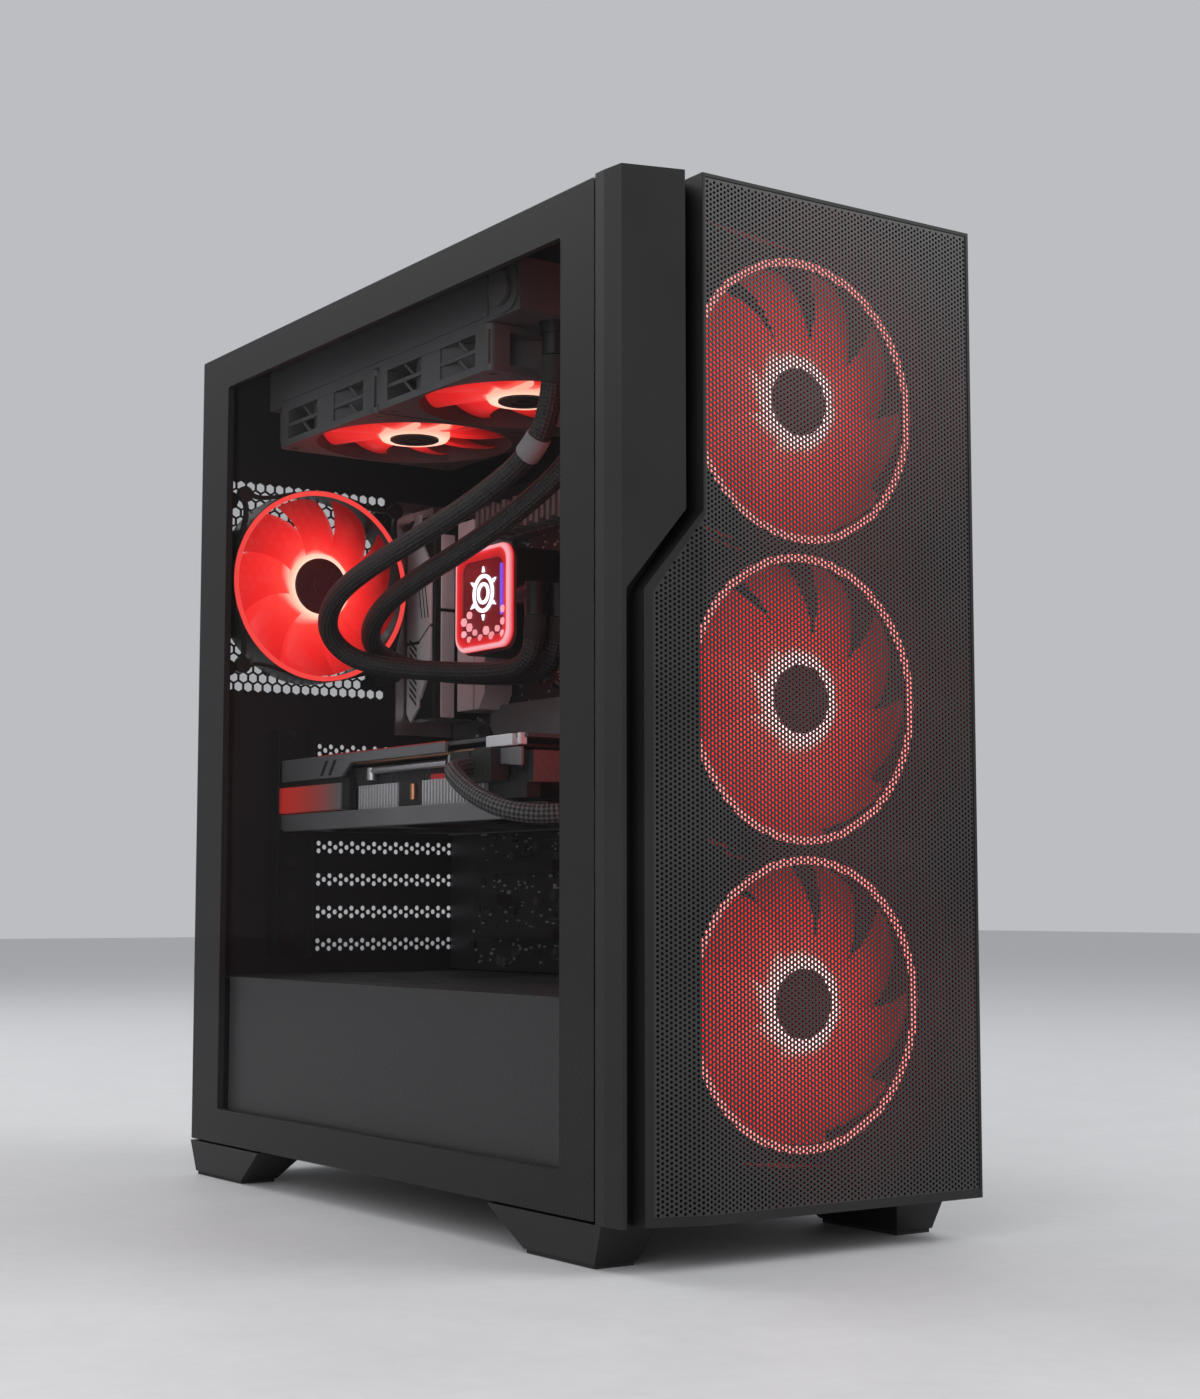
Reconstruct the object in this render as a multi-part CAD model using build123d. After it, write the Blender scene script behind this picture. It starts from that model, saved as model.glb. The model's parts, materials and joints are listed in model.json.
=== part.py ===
"""Mid-tower desktop computer: a steel chassis with a glass side, a perforated front and liquid cooling.

Frame: +Z up, the front faces -Y, the glass side faces -X. The origin is on the floor, at the
centre of the footprint. Everything is in millimetres.
"""

import os
from math import cos, hypot, pi, radians, sin, sqrt, tan

from build123d import *

# ---- driving dimensions ----
WIDTH = 205.0
HEIGHT = 495.0
DEPTH = 468.0
FOOT_HEIGHT = 20.0
SCREW_HEAD = 5.0
SHEET = 1.0
GLASS = 4.0
BEZEL_DEPTH = 30.4
FACET_RUN = 37.9
FACET_DROP = 11.3
GROOVE = 8.0

FRONT_FAN = 140.0
FRONT_FAN_PITCH = 144.5
CASE_FAN = 120.0
FAN_DEPTH = 25.0

SLOT_PITCH = 20.32
SLOT_COUNT = 7
BOARD_HEIGHT = 305.0
BOARD_DEPTH = 244.0

# ---- derived places ----
LEFT, RIGHT = -WIDTH / 2, WIDTH / 2
FRONT, REAR = -DEPTH / 2, DEPTH / 2 - SCREW_HEAD - SHEET
BASE, TOP = FOOT_HEIGHT, HEIGHT
GLASS_FRONT = FRONT + BEZEL_DEPTH + 1.0
IN_LEFT = LEFT + GLASS + SHEET + 0.5
IN_RIGHT = RIGHT - SHEET - 0.5
DECK_Z = TOP - 3.5
FRONT_SHEET_Y = FRONT + 23.5
FAN_X = 14.0
FAN_Z = [BASE + 93.7 + FRONT_FAN_PITCH * i for i in range(3)]
REAR_FAN_X, REAR_FAN_Z = -32.0, 358.0
SHROUD_Z = 118.0
TRAY_X = 83.5
BOARD_X = TRAY_X - 7.5
BOARD_Z = SHROUD_Z + 1.5
SLOT_Z = [BASE + 115.4 + SLOT_PITCH * i for i in range(SLOT_COUNT)]
CARD_SLOTS = (4, 5)
BOARD_HOLES = [(REAR - 3 - a, BOARD_Z + BOARD_HEIGHT - b) for a in (29, 161, 236) for b in (10, 165, 290)]
RAD_X, RAD_WIDTH, RAD_THICK = -78.0, 120.0, 27.0
RAD_Z = 459.0
RAD_Y0, RAD_Y1 = FRONT + 134.0, FRONT + 418.0
RAD_FAN_Y = [FRONT + 224.0, FRONT + 346.0]
PUMP_Y, PUMP_Z, PUMP_SIZE, PUMP_FACE_X = 98.0, 341.0, 62.0, 22.0
SCREW_Z = (BASE + 60.0, TOP - 60.0)
PSU_X, PSU_WIDTH, PSU_TALL, PSU_DEEP = -72.0, 150.0, 86.0, 150.0
PSU_FAN = 128.0
CARD_X0, CARD_X1 = -50.0, 74.0
CARD_Y0, CARD_Y1 = -66.0, REAR - 10.0
CARD_Z0, CARD_Z1 = 205.0, 249.0


FILTER_X, FILTER_WIDTH, FILTER_Y0 = 1.0, 132.0, REAR - 158.0
NOTCH_Z0, NOTCH_Z1 = 301.0, 338.0
MESH_LEFT_LOW, MESH_LEFT_HIGH = LEFT + 11.3, LEFT + 38.6
RIM, THIN_RIM = 4.0, 1.6
PANEL_BACK = FRONT + 17.5
PORT_X0, PORT_X1, PORT_Y = -33.0, 74.0, FRONT + 43.0
USB_X, JACK_X, POWER_X, RESET_X = (-20.0, 2.0), (22.0, 34.0), 62.0, 48.0

# ---- helpers ----
def slab(x0, x1, y0, y1, z0, z1):
    """A box between two corners."""
    box = Box(abs(x1 - x0), abs(y1 - y0), abs(z1 - z0))
    return Pos((x0 + x1) / 2, (y0 + y1) / 2, (z0 + z1) / 2) * box


def rod_x(x0, x1, y, z, r):
    """A cylinder along X."""
    return Pos((x0 + x1) / 2, y, z) * Rot(0, 90, 0) * Cylinder(r, abs(x1 - x0))


def rod_y(x, y0, y1, z, r):
    """A cylinder along Y."""
    return Pos(x, (y0 + y1) / 2, z) * Rot(90, 0, 0) * Cylinder(r, abs(y1 - y0))


def rod_z(x, y, z0, z1, r):
    """A cylinder along Z."""
    return Pos(x, y, (z0 + z1) / 2) * Cylinder(r, abs(z1 - z0))


def ring_points(cx, cy, r, count, start=0.0):
    """Corner points of a regular polygon."""
    turn = 2 * pi / count
    return [(cx + r * cos(start + turn * i), cy + r * sin(start + turn * i)) for i in range(count)]


def box_points(x0, x1, y0, y1):
    """Corner points of a rectangle."""
    return [(x0, y0), (x1, y0), (x1, y1), (x0, y1)]


def sheet(outline, holes, lift, thickness):
    """A flat sheet with holes. lift places a plan point on the sheet's starting plane."""
    outer = Wire.make_polygon([lift(*p) for p in outline], close=True)
    inner = [Wire.make_polygon([lift(*p) for p in hole], close=True) for hole in holes]
    face = Face(outer, inner)
    step = lift(0, 0, thickness) - lift(0, 0)
    return Solid.extrude(face, step)


def on_y(y):
    """Plan points are (x, z), and thickness runs along +Y."""
    return lambda u, v, t=0.0: Vector(u, y + t, v)


def on_z(z):
    """Plan points are (x, y), and thickness runs along +Z."""
    return lambda u, v, t=0.0: Vector(u, v, z + t)


def on_x(x):
    """Plan points are (y, z), and thickness runs along +X."""
    return lambda u, v, t=0.0: Vector(x + t, u, v)


def honeycomb(x0, x1, z0, z1, pitch, flats):
    """Hexagonal holes in staggered rows inside a rectangle."""
    holes, row_step = [], pitch * sqrt(3) / 2
    rows = int((z1 - z0 - flats) / row_step) + 1
    for row in range(rows):
        shift = pitch / 2 if row % 2 else 0.0
        columns = int((x1 - x0 - flats - shift) / pitch) + 1
        for column in range(columns):
            x = x0 + flats / 2 + shift + column * pitch
            holes.append(ring_points(x, z0 + flats / 2 + row * row_step, flats / sqrt(3), 6, pi / 6))
    return holes


def joined(first, *others):
    """One solid from several touching ones."""
    whole = first
    for other in others:
        whole = whole + other
    return whole


def save(node, *solids):
    """Writes one sub-part, as one solid or a group of separate ones."""
    found = [s for shape in solids for s in shape.solids()]
    shape = found[0] if len(found) == 1 else Compound(found)
    export_step(shape, f"parts/{node}.step")


# ---- fans ----
def blade(hub_r, tip_r, thickness, chord, angle_in, angle_out, sweep):
    """A swept fan blade from the hub to the tip, about +Z."""
    sections = []
    for share in (0.0, 0.5, 1.0):
        r = hub_r + (tip_r - hub_r) * share
        pitch = angle_in + (angle_out - angle_in) * share
        turn = sweep * share**1.5
        width = chord * (0.8 + 0.4 * share)
        middle = Plane(
            origin=(r * cos(turn), r * sin(turn), 0),
            x_dir=(-sin(turn), cos(turn), 0),
            z_dir=(cos(turn), sin(turn), 0),
        )
        sections.append(middle * Rot(0, 0, pitch) * Rectangle(width, thickness))
    return loft(sections, ruled=True)


def rotor(tip_r, hub_r, depth, blades, chord):
    """Hub cup with blades, centred on the origin about +Z."""
    hub = Cylinder(hub_r, depth)
    hub = fillet(hub.faces().sort_by(Axis.Z)[-1].edges(), 2.0)
    one = blade(hub_r - 1.5, tip_r, 1.6, chord, 40.0, 24.0, radians(22))
    for i in range(blades):
        hub = hub + Rot(0, 0, 360.0 / blades * i) * one
    return hub


def fan_frame(size, bore_r, depth):
    """Square fan frame with corner flanges, a round duct, struts and a motor seat at its -Z end."""
    half, flange, pad, hole_gap = size / 2, 4.0, 13.0, 7.5
    body = fillet(Box(size, size, depth).edges().filter_by(Axis.Z), 5.0)
    body = body - Cylinder(bore_r, depth + 2)
    pocket = Box(size + 2, size + 2, depth - 2 * flange) - Cylinder(bore_r + 1.4, depth)
    for sx in (-1, 1):
        for sy in (-1, 1):
            pocket = pocket - Pos(sx * half, sy * half) * Box(2 * pad, 2 * pad, depth)
            body = body - Pos(sx * (half - hole_gap), sy * (half - hole_gap)) * Cylinder(2.1, depth + 2)
    body = body - pocket
    seat = Pos(0, 0, -depth / 2 + 1.25) * Cylinder(20.0, 2.5)
    for angle in (45, 135, 225, 315):
        strut = Rot(0, 0, angle) * Pos((bore_r + 19.0) / 2, 0, -depth / 2 + 1.25)
        seat = seat + strut * Box(bore_r - 17.0, 4.0, 2.5)
    return body + seat


def facing(x, y, z, direction):
    """A placement that turns a fan's +Z end towards a row axis."""
    turns = {"-Y": Rot(90, 0, 0), "+Y": Rot(-90, 0, 0), "-Z": Rot(180, 0, 0), "+Z": Rot(0, 0, 0)}
    return Pos(x, y, z) * turns[direction]


def case_fans():
    """Intake, exhaust and radiator fans, each a frame and a rotor."""
    lift = Pos(0, 0, 1.7)
    big_frame = fan_frame(FRONT_FAN, 68.0, FAN_DEPTH)
    big_rotor = lift * rotor(65.5, 23.0, 19.0, 9, 26.0)
    small_frame = fan_frame(CASE_FAN, 58.0, FAN_DEPTH)
    small_rotor = lift * rotor(55.8, 21.0, 19.0, 9, 24.0)
    intake_y = FRONT_SHEET_Y + SHEET + FAN_DEPTH / 2
    frames = [facing(FAN_X, intake_y, z, "-Y") * big_frame for z in FAN_Z]
    save("intake_fan_frames", *frames)
    for i, z in enumerate(FAN_Z):
        save(f"intake_fan_rotor_{i + 1}", facing(FAN_X, intake_y, z, "-Y") * big_rotor)
    place = facing(REAR_FAN_X, REAR - SHEET - FAN_DEPTH / 2, REAR_FAN_Z, "-Y")
    save("exhaust_fan_frame", place * small_frame)
    save("exhaust_fan_rotor", place * small_rotor)
    seats = [facing(RAD_X + 60.0, y, RAD_Z - FAN_DEPTH / 2, "-Z") for y in RAD_FAN_Y]
    save("radiator_fan_frames", *[seat * small_frame for seat in seats])
    for i, seat in enumerate(seats):
        save(f"radiator_fan_rotor_{i + 1}", seat * small_rotor)


# ---- chassis ----
def rear_panel():
    """Rear sheet with the exhaust grille, the port window, the slots and the supply cut-out.

    The glass side's screws pass through notches that are open to the side, so it comes off sideways.
    """
    grille = honeycomb(REAR_FAN_X - 60, REAR_FAN_X + 60, REAR_FAN_Z - 66, REAR_FAN_Z + 66, 6.6, 5.4)
    corners = [(REAR_FAN_X + sx * 52.5, REAR_FAN_Z + sz * 52.5) for sx in (-1, 1) for sz in (-1, 1)]
    grille = [h for h in grille if all(hypot(h[0][0] - x, h[0][1] - z) > 7.5 for x, z in corners)]
    holes = grille + [ring_points(x, z, 2.1, 16) for x, z in corners]
    holes.append(box_points(36.0, BOARD_X, SLOT_Z[-1] + 14.0, SLOT_Z[-1] + 162.0))
    holes += [box_points(-24.0, 80.0, z - 7.0, z + 7.0) for z in SLOT_Z]
    holes.append(box_points(PSU_X + 4, PSU_X + PSU_WIDTH - 4, BASE + 5, BASE + PSU_TALL - 3))
    holes += [ring_points(RIGHT - 8, z, 2.2, 16) for z in SCREW_Z]
    outline = [(IN_LEFT, DECK_Z), (IN_RIGHT, DECK_Z), (IN_RIGHT, BASE), (IN_LEFT, BASE)]
    for z in SCREW_Z:
        outline += [(IN_LEFT, z - 2.2), (LEFT + 13.2, z - 2.2), (LEFT + 13.2, z + 2.2), (IN_LEFT, z + 2.2)]
    save("rear_panel", sheet(outline, holes, on_y(REAR - SHEET), SHEET))


def chassis_shell():
    """Floor, top deck, front wall and the board tray, four panels round the window behind the pump."""
    back, front = REAR - SHEET, FRONT_SHEET_Y
    vents = [box_points(-62 + 9 * i, -56 + 9 * i, 92, 206) for i in range(14)]
    floor = sheet(box_points(IN_LEFT, IN_RIGHT, front + SHEET, back), vents, on_z(BASE), SHEET)
    for side in (-1, 1):
        outer, inner = FILTER_X + side * (FILTER_WIDTH / 2 + 1.6), FILTER_X + side * (FILTER_WIDTH / 2 - 2)
        wall = outer - side * SHEET
        floor = floor + slab(wall, outer, FILTER_Y0, REAR - SHEET, BASE - 4.4, BASE)
        floor = floor + slab(inner, outer, FILTER_Y0, REAR - SHEET, BASE - 4.4, BASE - 3.4)
    save("floor_panel", floor)
    deck_holes = [box_points(RAD_X + 4, RAD_X + 116, y - 56, y + 56) for y in RAD_FAN_Y]
    deck_holes.append(box_points(PORT_X0 + 2, PORT_X1 - 2, PORT_Y - 6, PORT_Y + 6))
    deck = sheet(box_points(IN_LEFT, IN_RIGHT, front + SHEET, back), deck_holes, on_z(DECK_Z - SHEET), SHEET)
    save("top_deck", deck)
    mouths = [ring_points(FAN_X, z, 69.6, 96) for z in FAN_Z]
    holes = mouths + [
        ring_points(FAN_X + sx * 62.5, z + sz * 62.5, 2.2, 16)
        for z in FAN_Z
        for sx in (-1, 1)
        for sz in (-1, 1)
    ]
    save("front_wall", sheet(box_points(IN_LEFT, IN_RIGHT, BASE, DECK_Z), holes, on_y(front), SHEET))
    tray_front = FRONT_SHEET_Y + SHEET + FAN_DEPTH + 2
    bottom, top = BASE + SHEET, DECK_Z - SHEET
    window_front, window_rear = PUMP_Y - 62, PUMP_Y + 62
    cable_windows = [box_points(-46, -24, 340, 420), box_points(-46, -24, 215, 300)]
    panels = []
    for y0, y1, z0, z1, holes in (
        (tray_front, window_front, bottom, top, cable_windows),
        (window_rear, back, bottom, top, []),
        (window_front, window_rear, bottom, PUMP_Z - 50, []),
        (window_front, window_rear, PUMP_Z + 60, top, []),
    ):
        panel = sheet(box_points(y0, y1, z0, z1), holes, on_x(TRAY_X), SHEET)
        for y, z in BOARD_HOLES:
            if y0 < y < y1 and z0 < z < z1:
                panel = panel + rod_x(BOARD_X + 1.6, TRAY_X, y, z, 3.0)
                panel = panel + rod_x(BOARD_X - 1, BOARD_X + 2, y, z, 1.6)
                panel = panel + rod_x(BOARD_X - 2.2, BOARD_X, y, z, 3.2)
        panels.append(panel)
    save("board_tray", *panels)
    grommets = [grommet(y0, y1, z0, z1) for y0, y1, z0, z1 in ((-46, -24, 340, 420), (-46, -24, 215, 300))]
    save("cable_grommets", *grommets)


def grommet(y0, y1, z0, z1):
    """Rubber cable grommet seated in a tray window, with a slit curtain."""
    rim = slab(TRAY_X - 1.6, TRAY_X, y0 - 3, y1 + 3, z0 - 3, z1 + 3)
    neck = slab(TRAY_X, TRAY_X + SHEET, y0, y1, z0, z1)
    middle = (y0 + y1) / 2
    slit = slab(TRAY_X - 3, TRAY_X + 3, middle - 0.6, middle + 0.6, z0 + 5, z1 - 5)
    return rim + neck - slit


def supply_shroud():
    """Folded cover over the power supply, with vents on top."""
    front = FRONT_SHEET_Y + SHEET + FAN_DEPTH + 2
    vents = [box_points(-70 + 11 * i, -65 + 11 * i, 10, 90) for i in range(12)]
    roof = sheet(
        box_points(IN_LEFT + 1, TRAY_X - 0.5, front, REAR - SHEET), vents, on_z(SHROUD_Z - SHEET), SHEET
    )
    wall = slab(IN_LEFT + 1, IN_LEFT + 2, front, REAR - 38, BASE + SHEET, SHROUD_Z - SHEET)
    save("supply_shroud", roof + wall)


def slot_covers():
    """Perforated covers behind the free slots, each with a folded screw tab."""
    covers = []
    for i, z in enumerate(SLOT_Z):
        if i in CARD_SLOTS:
            continue
        holes = [ring_points(-20 + 7.9 * k, z + s * 2.4, 1.6, 12) for k in range(13) for s in (-1, 1)]
        holes += [ring_points(-16.05 + 7.9 * k, z, 1.6, 12) for k in range(13)]
        plate = sheet(box_points(-27, 82.0, z - 9.4, z + 9.4), holes, on_y(REAR - 2 * SHEET), SHEET)
        tab = slab(-28, -27, REAR - 9, REAR - SHEET, z - 6.5, z + 6.5)
        covers.append(plate + tab)
    save("slot_covers", *covers)


def drive_cage():
    """Two-bay drive cage under the shroud."""
    x0, x1, y0, y1, z0, z1 = -56.0, 52.0, -176.0, -50.0, BASE + SHEET, BASE + 84.0
    sides = [slab(x, x + SHEET, y0, y1, z0, z1) for x in (x0, x1 - SHEET)]
    cage = joined(slab(x0, x1, y0, y1, z1 - SHEET, z1), *sides)
    shelf_z = (z0 + z1) / 2
    save("drive_cage", cage + slab(x0, x1, y0, y1, shelf_z, shelf_z + SHEET))


def feet():
    """Tapered feet with rubber pads."""
    blocks, pads = [], []
    for y0, y1, lean0, lean1 in ((FRONT + 26, FRONT + 122, 8, 30), (REAR - 92, REAR, 26, 4)):
        for side in (-1, 1):
            outer, inner = side * WIDTH / 2, side * (WIDTH / 2 - 32)
            upper = Wire.make_polygon(
                [(outer, y0, BASE), (outer, y1, BASE), (inner, y1, BASE), (inner, y0, BASE)], close=True
            )
            low_out, low_in = outer - side * 2, inner + side * 7
            a, b = y0 + lean0, y1 - lean1
            lower = Wire.make_polygon(
                [(low_out, a, 2), (low_out, b, 2), (low_in, b, 2), (low_in, a, 2)], close=True
            )
            blocks.append(Solid.make_loft([lower, upper], ruled=True))
            pads.append(slab(low_out - side * 1, low_in + side * 1, a + 1, b - 1, 0, 2))
    save("feet", *blocks)
    save("foot_pads", *pads)


# ---- panels ----
def thumbscrew(x, z):
    """Knurled screw through the panel flange and the rear sheet."""
    head = rod_y(x, REAR + SHEET, REAR + SHEET + SCREW_HEAD, z, 6.0)
    for i in range(12):
        a = 2 * pi * i / 12
        head = head - rod_y(x + 6.3 * cos(a), REAR, DEPTH, z + 6.3 * sin(a), 0.9)
    return head + rod_y(x, REAR - 8, REAR + SHEET, z, 1.7)


def side_panels():
    """Glass side on its steel frame, and the folded steel side, each with two thumbscrews."""
    z0, z1 = BASE + 0.5, TOP - 0.5
    glass = slab(LEFT, LEFT + GLASS, GLASS_FRONT, REAR, z0, z1)
    save("glass_panel", chamfer(glass.faces().sort_by(Axis.X)[0].edges(), 0.8))
    inner = [box_points(GLASS_FRONT + 27, REAR - 35, z0 + 20, z1 - 21)]
    ring = sheet(box_points(GLASS_FRONT + 2, REAR, z0 + 2, z1 - 2), inner, on_x(LEFT + GLASS), SHEET)
    flange = slab(LEFT + GLASS, LEFT + 20, REAR, REAR + SHEET, z0 + 2, z1 - 2)
    for z in SCREW_Z:
        flange = flange - rod_y(LEFT + 11, REAR - 1, REAR + 3, z, 2.2)
    save("glass_panel_frame", ring + flange)
    save("glass_thumbscrews", *[thumbscrew(LEFT + 11, z) for z in SCREW_Z])
    skin = slab(RIGHT - SHEET, RIGHT, GLASS_FRONT, REAR + SHEET, z0, z1)
    fold = slab(RIGHT - 20, RIGHT - SHEET, REAR, REAR + SHEET, z0, z1)
    for z in SCREW_Z:
        fold = fold - rod_y(RIGHT - 8, REAR - 1, REAR + 3, z, 2.2)
    top_lip = slab(RIGHT - 12, RIGHT - SHEET, GLASS_FRONT, REAR + SHEET, z1 - SHEET, z1)
    save("steel_side_panel", joined(skin, fold, top_lip))
    save("steel_panel_thumbscrews", *[thumbscrew(RIGHT - 8, z) for z in SCREW_Z])


# ---- front ----
def facet_y(x, inset=0.0):
    """Y of the front surface at x: flat on the right, slanting back on the left."""
    fold = LEFT + 1.3 + FACET_RUN
    return FRONT + inset + max(0.0, fold - x) * FACET_DROP / FACET_RUN


def front_profile(x0, x1, inset, back):
    """Plan outline between the front surface and a plane behind it."""
    fold = LEFT + 1.3 + FACET_RUN
    points = [(x0, facet_y(x0, inset))]
    if x0 < fold < x1:
        points.append((fold, facet_y(fold, inset)))
    points.append((x1, facet_y(x1, inset)))
    return points + [(x1, back), (x0, back)]


def tall(points, z0, z1):
    """A plan outline raised between two heights."""
    wire = Wire.make_polygon([Vector(x, y, z0) for x, y in points], close=True)
    return Solid.extrude(Face(wire), Vector(0, 0, z1 - z0))


def panel_outline(grow=0.0):
    """The removable mesh panel's outline as (x, z), grown outwards on its stepped side."""
    low, high = MESH_LEFT_LOW - grow, MESH_LEFT_HIGH - grow
    step = [(high, TOP), (high, NOTCH_Z1), (low, NOTCH_Z0)]
    return [(low, BASE), (RIGHT, BASE), (RIGHT, TOP)] + step


def prism_y(points, y0, y1):
    """An (x, z) outline extruded along Y."""
    wire = Wire.make_polygon([Vector(x, y0, z) for x, z in points], close=True)
    return Solid.extrude(Face(wire), Vector(0, y1 - y0, 0))




def front_bezel():
    """Moulded front frame: the faceted cheek, the dark groove and the frame round the intake mouth."""
    back, fold = FRONT + BEZEL_DEPTH, LEFT + 1.3 + FACET_RUN
    outline = [(LEFT, back), (LEFT, GLASS_FRONT - 8), (LEFT + 1.3, facet_y(LEFT + 1.3)), (fold, FRONT)]
    shell = tall(outline + [(RIGHT, FRONT), (RIGHT, back)], BASE, TOP)
    shell = shell - prism_y(panel_outline(GROOVE), FRONT - 1, PANEL_BACK + 0.3)
    shell = shell - slab(LEFT + 50, RIGHT - 6, FRONT - 1, FRONT_SHEET_Y, BASE + 8, TOP - 8)
    shell = shell - slab(LEFT + 4, RIGHT - 1.3, FRONT_SHEET_Y - 0.2, back + 1, BASE - 1, DECK_Z + 0.2)
    save("front_bezel", shell)


def port_strip():
    """Strip behind the bezel's top edge, with its sockets, its small board and two buttons."""
    strip = slab(PORT_X0, PORT_X1, PORT_Y - 9, PORT_Y + 9, DECK_Z, TOP)
    strip = chamfer(strip.faces().sort_by(Axis.Z)[-1].edges(), 0.8)
    for x in USB_X:
        strip = strip - slab(x - 7.2, x + 7.2, PORT_Y - 3.6, PORT_Y + 3.6, DECK_Z - 1, TOP + 1)
    for x, r in [(x, 3.2) for x in JACK_X] + [(POWER_X, 5.0), (RESET_X, 2.7)]:
        strip = strip - rod_z(x, PORT_Y, DECK_Z - 1, TOP + 1, r)
    save("port_strip", strip)
    board = slab(PORT_X0 + 3, PORT_X1 - 3, PORT_Y - 4.5, PORT_Y + 4.5, TOP - 18, TOP - 16)
    for x in (PORT_X0 + 4.3, PORT_X1 - 4.5):
        board = board + rod_z(x, PORT_Y - 3, TOP - 16, DECK_Z, 1.2)
    ports = [board]
    for x in USB_X:
        outer = slab(x - 7, x + 7, PORT_Y - 3.4, PORT_Y + 3.4, TOP - 16, TOP - 0.4)
        hollow = slab(x - 6.2, x + 6.2, PORT_Y - 2.6, PORT_Y + 2.6, TOP - 14, TOP + 1)
        tongue = slab(x - 5.4, x + 5.4, PORT_Y - 1.9, PORT_Y + 0.1, TOP - 14.5, TOP - 2.5)
        ports.append(outer - hollow + tongue)
    for x in JACK_X:
        ports.append(rod_z(x, PORT_Y, TOP - 16, TOP - 0.2, 3.0) - rod_z(x, PORT_Y, TOP - 14, TOP + 1, 1.75))
    save("front_ports", *ports)
    for node, x, r in (("power_button", POWER_X, 4.75), ("reset_button", RESET_X, 2.45)):
        cap = rod_z(x, PORT_Y, TOP - 9, TOP - 0.1, r)
        cap = fillet(cap.faces().sort_by(Axis.Z)[-1].edges(), 0.6)
        save(node, cap + rod_z(x, PORT_Y, TOP - 13, TOP - 9, r - 1.2))


def mesh_panel():
    """Removable front: a moulded rim, and the perforated steel sheet that it carries."""
    low, high, right = BASE + 0.3, TOP - 0.3, RIGHT - 0.3
    left_low, left_high = MESH_LEFT_LOW, MESH_LEFT_HIGH
    outline = [(left_low, low), (right, low), (right, high)]
    outline += [(left_high, high), (left_high, NOTCH_Z1), (left_low, NOTCH_Z0)]
    window = [(left_low + RIM, low + RIM), (right - THIN_RIM, low + RIM), (right - THIN_RIM, high - THIN_RIM)]
    window += [(left_high + THIN_RIM, high - THIN_RIM), (left_high + THIN_RIM, NOTCH_Z1 - 1.2)]
    window += [(left_low + RIM, NOTCH_Z0 - 1.2)]
    whole = prism_y(outline, FRONT - 5, PANEL_BACK)
    whole = whole & tall(front_profile(left_low - 1, RIGHT, 0.0, PANEL_BACK + 1), BASE, TOP)
    opening = prism_y(window, FRONT - 6, PANEL_BACK + 2)
    save("mesh_panel_rim", whole - opening)
    skin = tall(front_profile(left_low, RIGHT, 0.5, PANEL_BACK + 1), BASE, TOP)
    behind = tall(front_profile(left_low - 2, RIGHT + 2, 1.4, PANEL_BACK + 2), BASE - 1, TOP + 1)
    save("front_mesh", (skin - behind) & opening)


def top_filter():
    """Magnetic dust filter over the top vents: a thin frame round three screens."""
    x0, x1, y0, y1 = RAD_X - 6, RAD_X + 130, -88.0, 186.0
    cells = [box_points(x0 + 6 + 44 * i, x0 + 42 + 44 * i, y0 + 6, y1 - 6) for i in range(3)]
    whole = sheet(box_points(x0, x1, y0, y1), cells, on_z(DECK_Z), 2.4)
    for (a, b), _, (c, d), _ in cells:
        whole = whole + slab(a, c, b, d, DECK_Z + 0.8, DECK_Z + 1.3)
    save("top_filter", whole)


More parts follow.
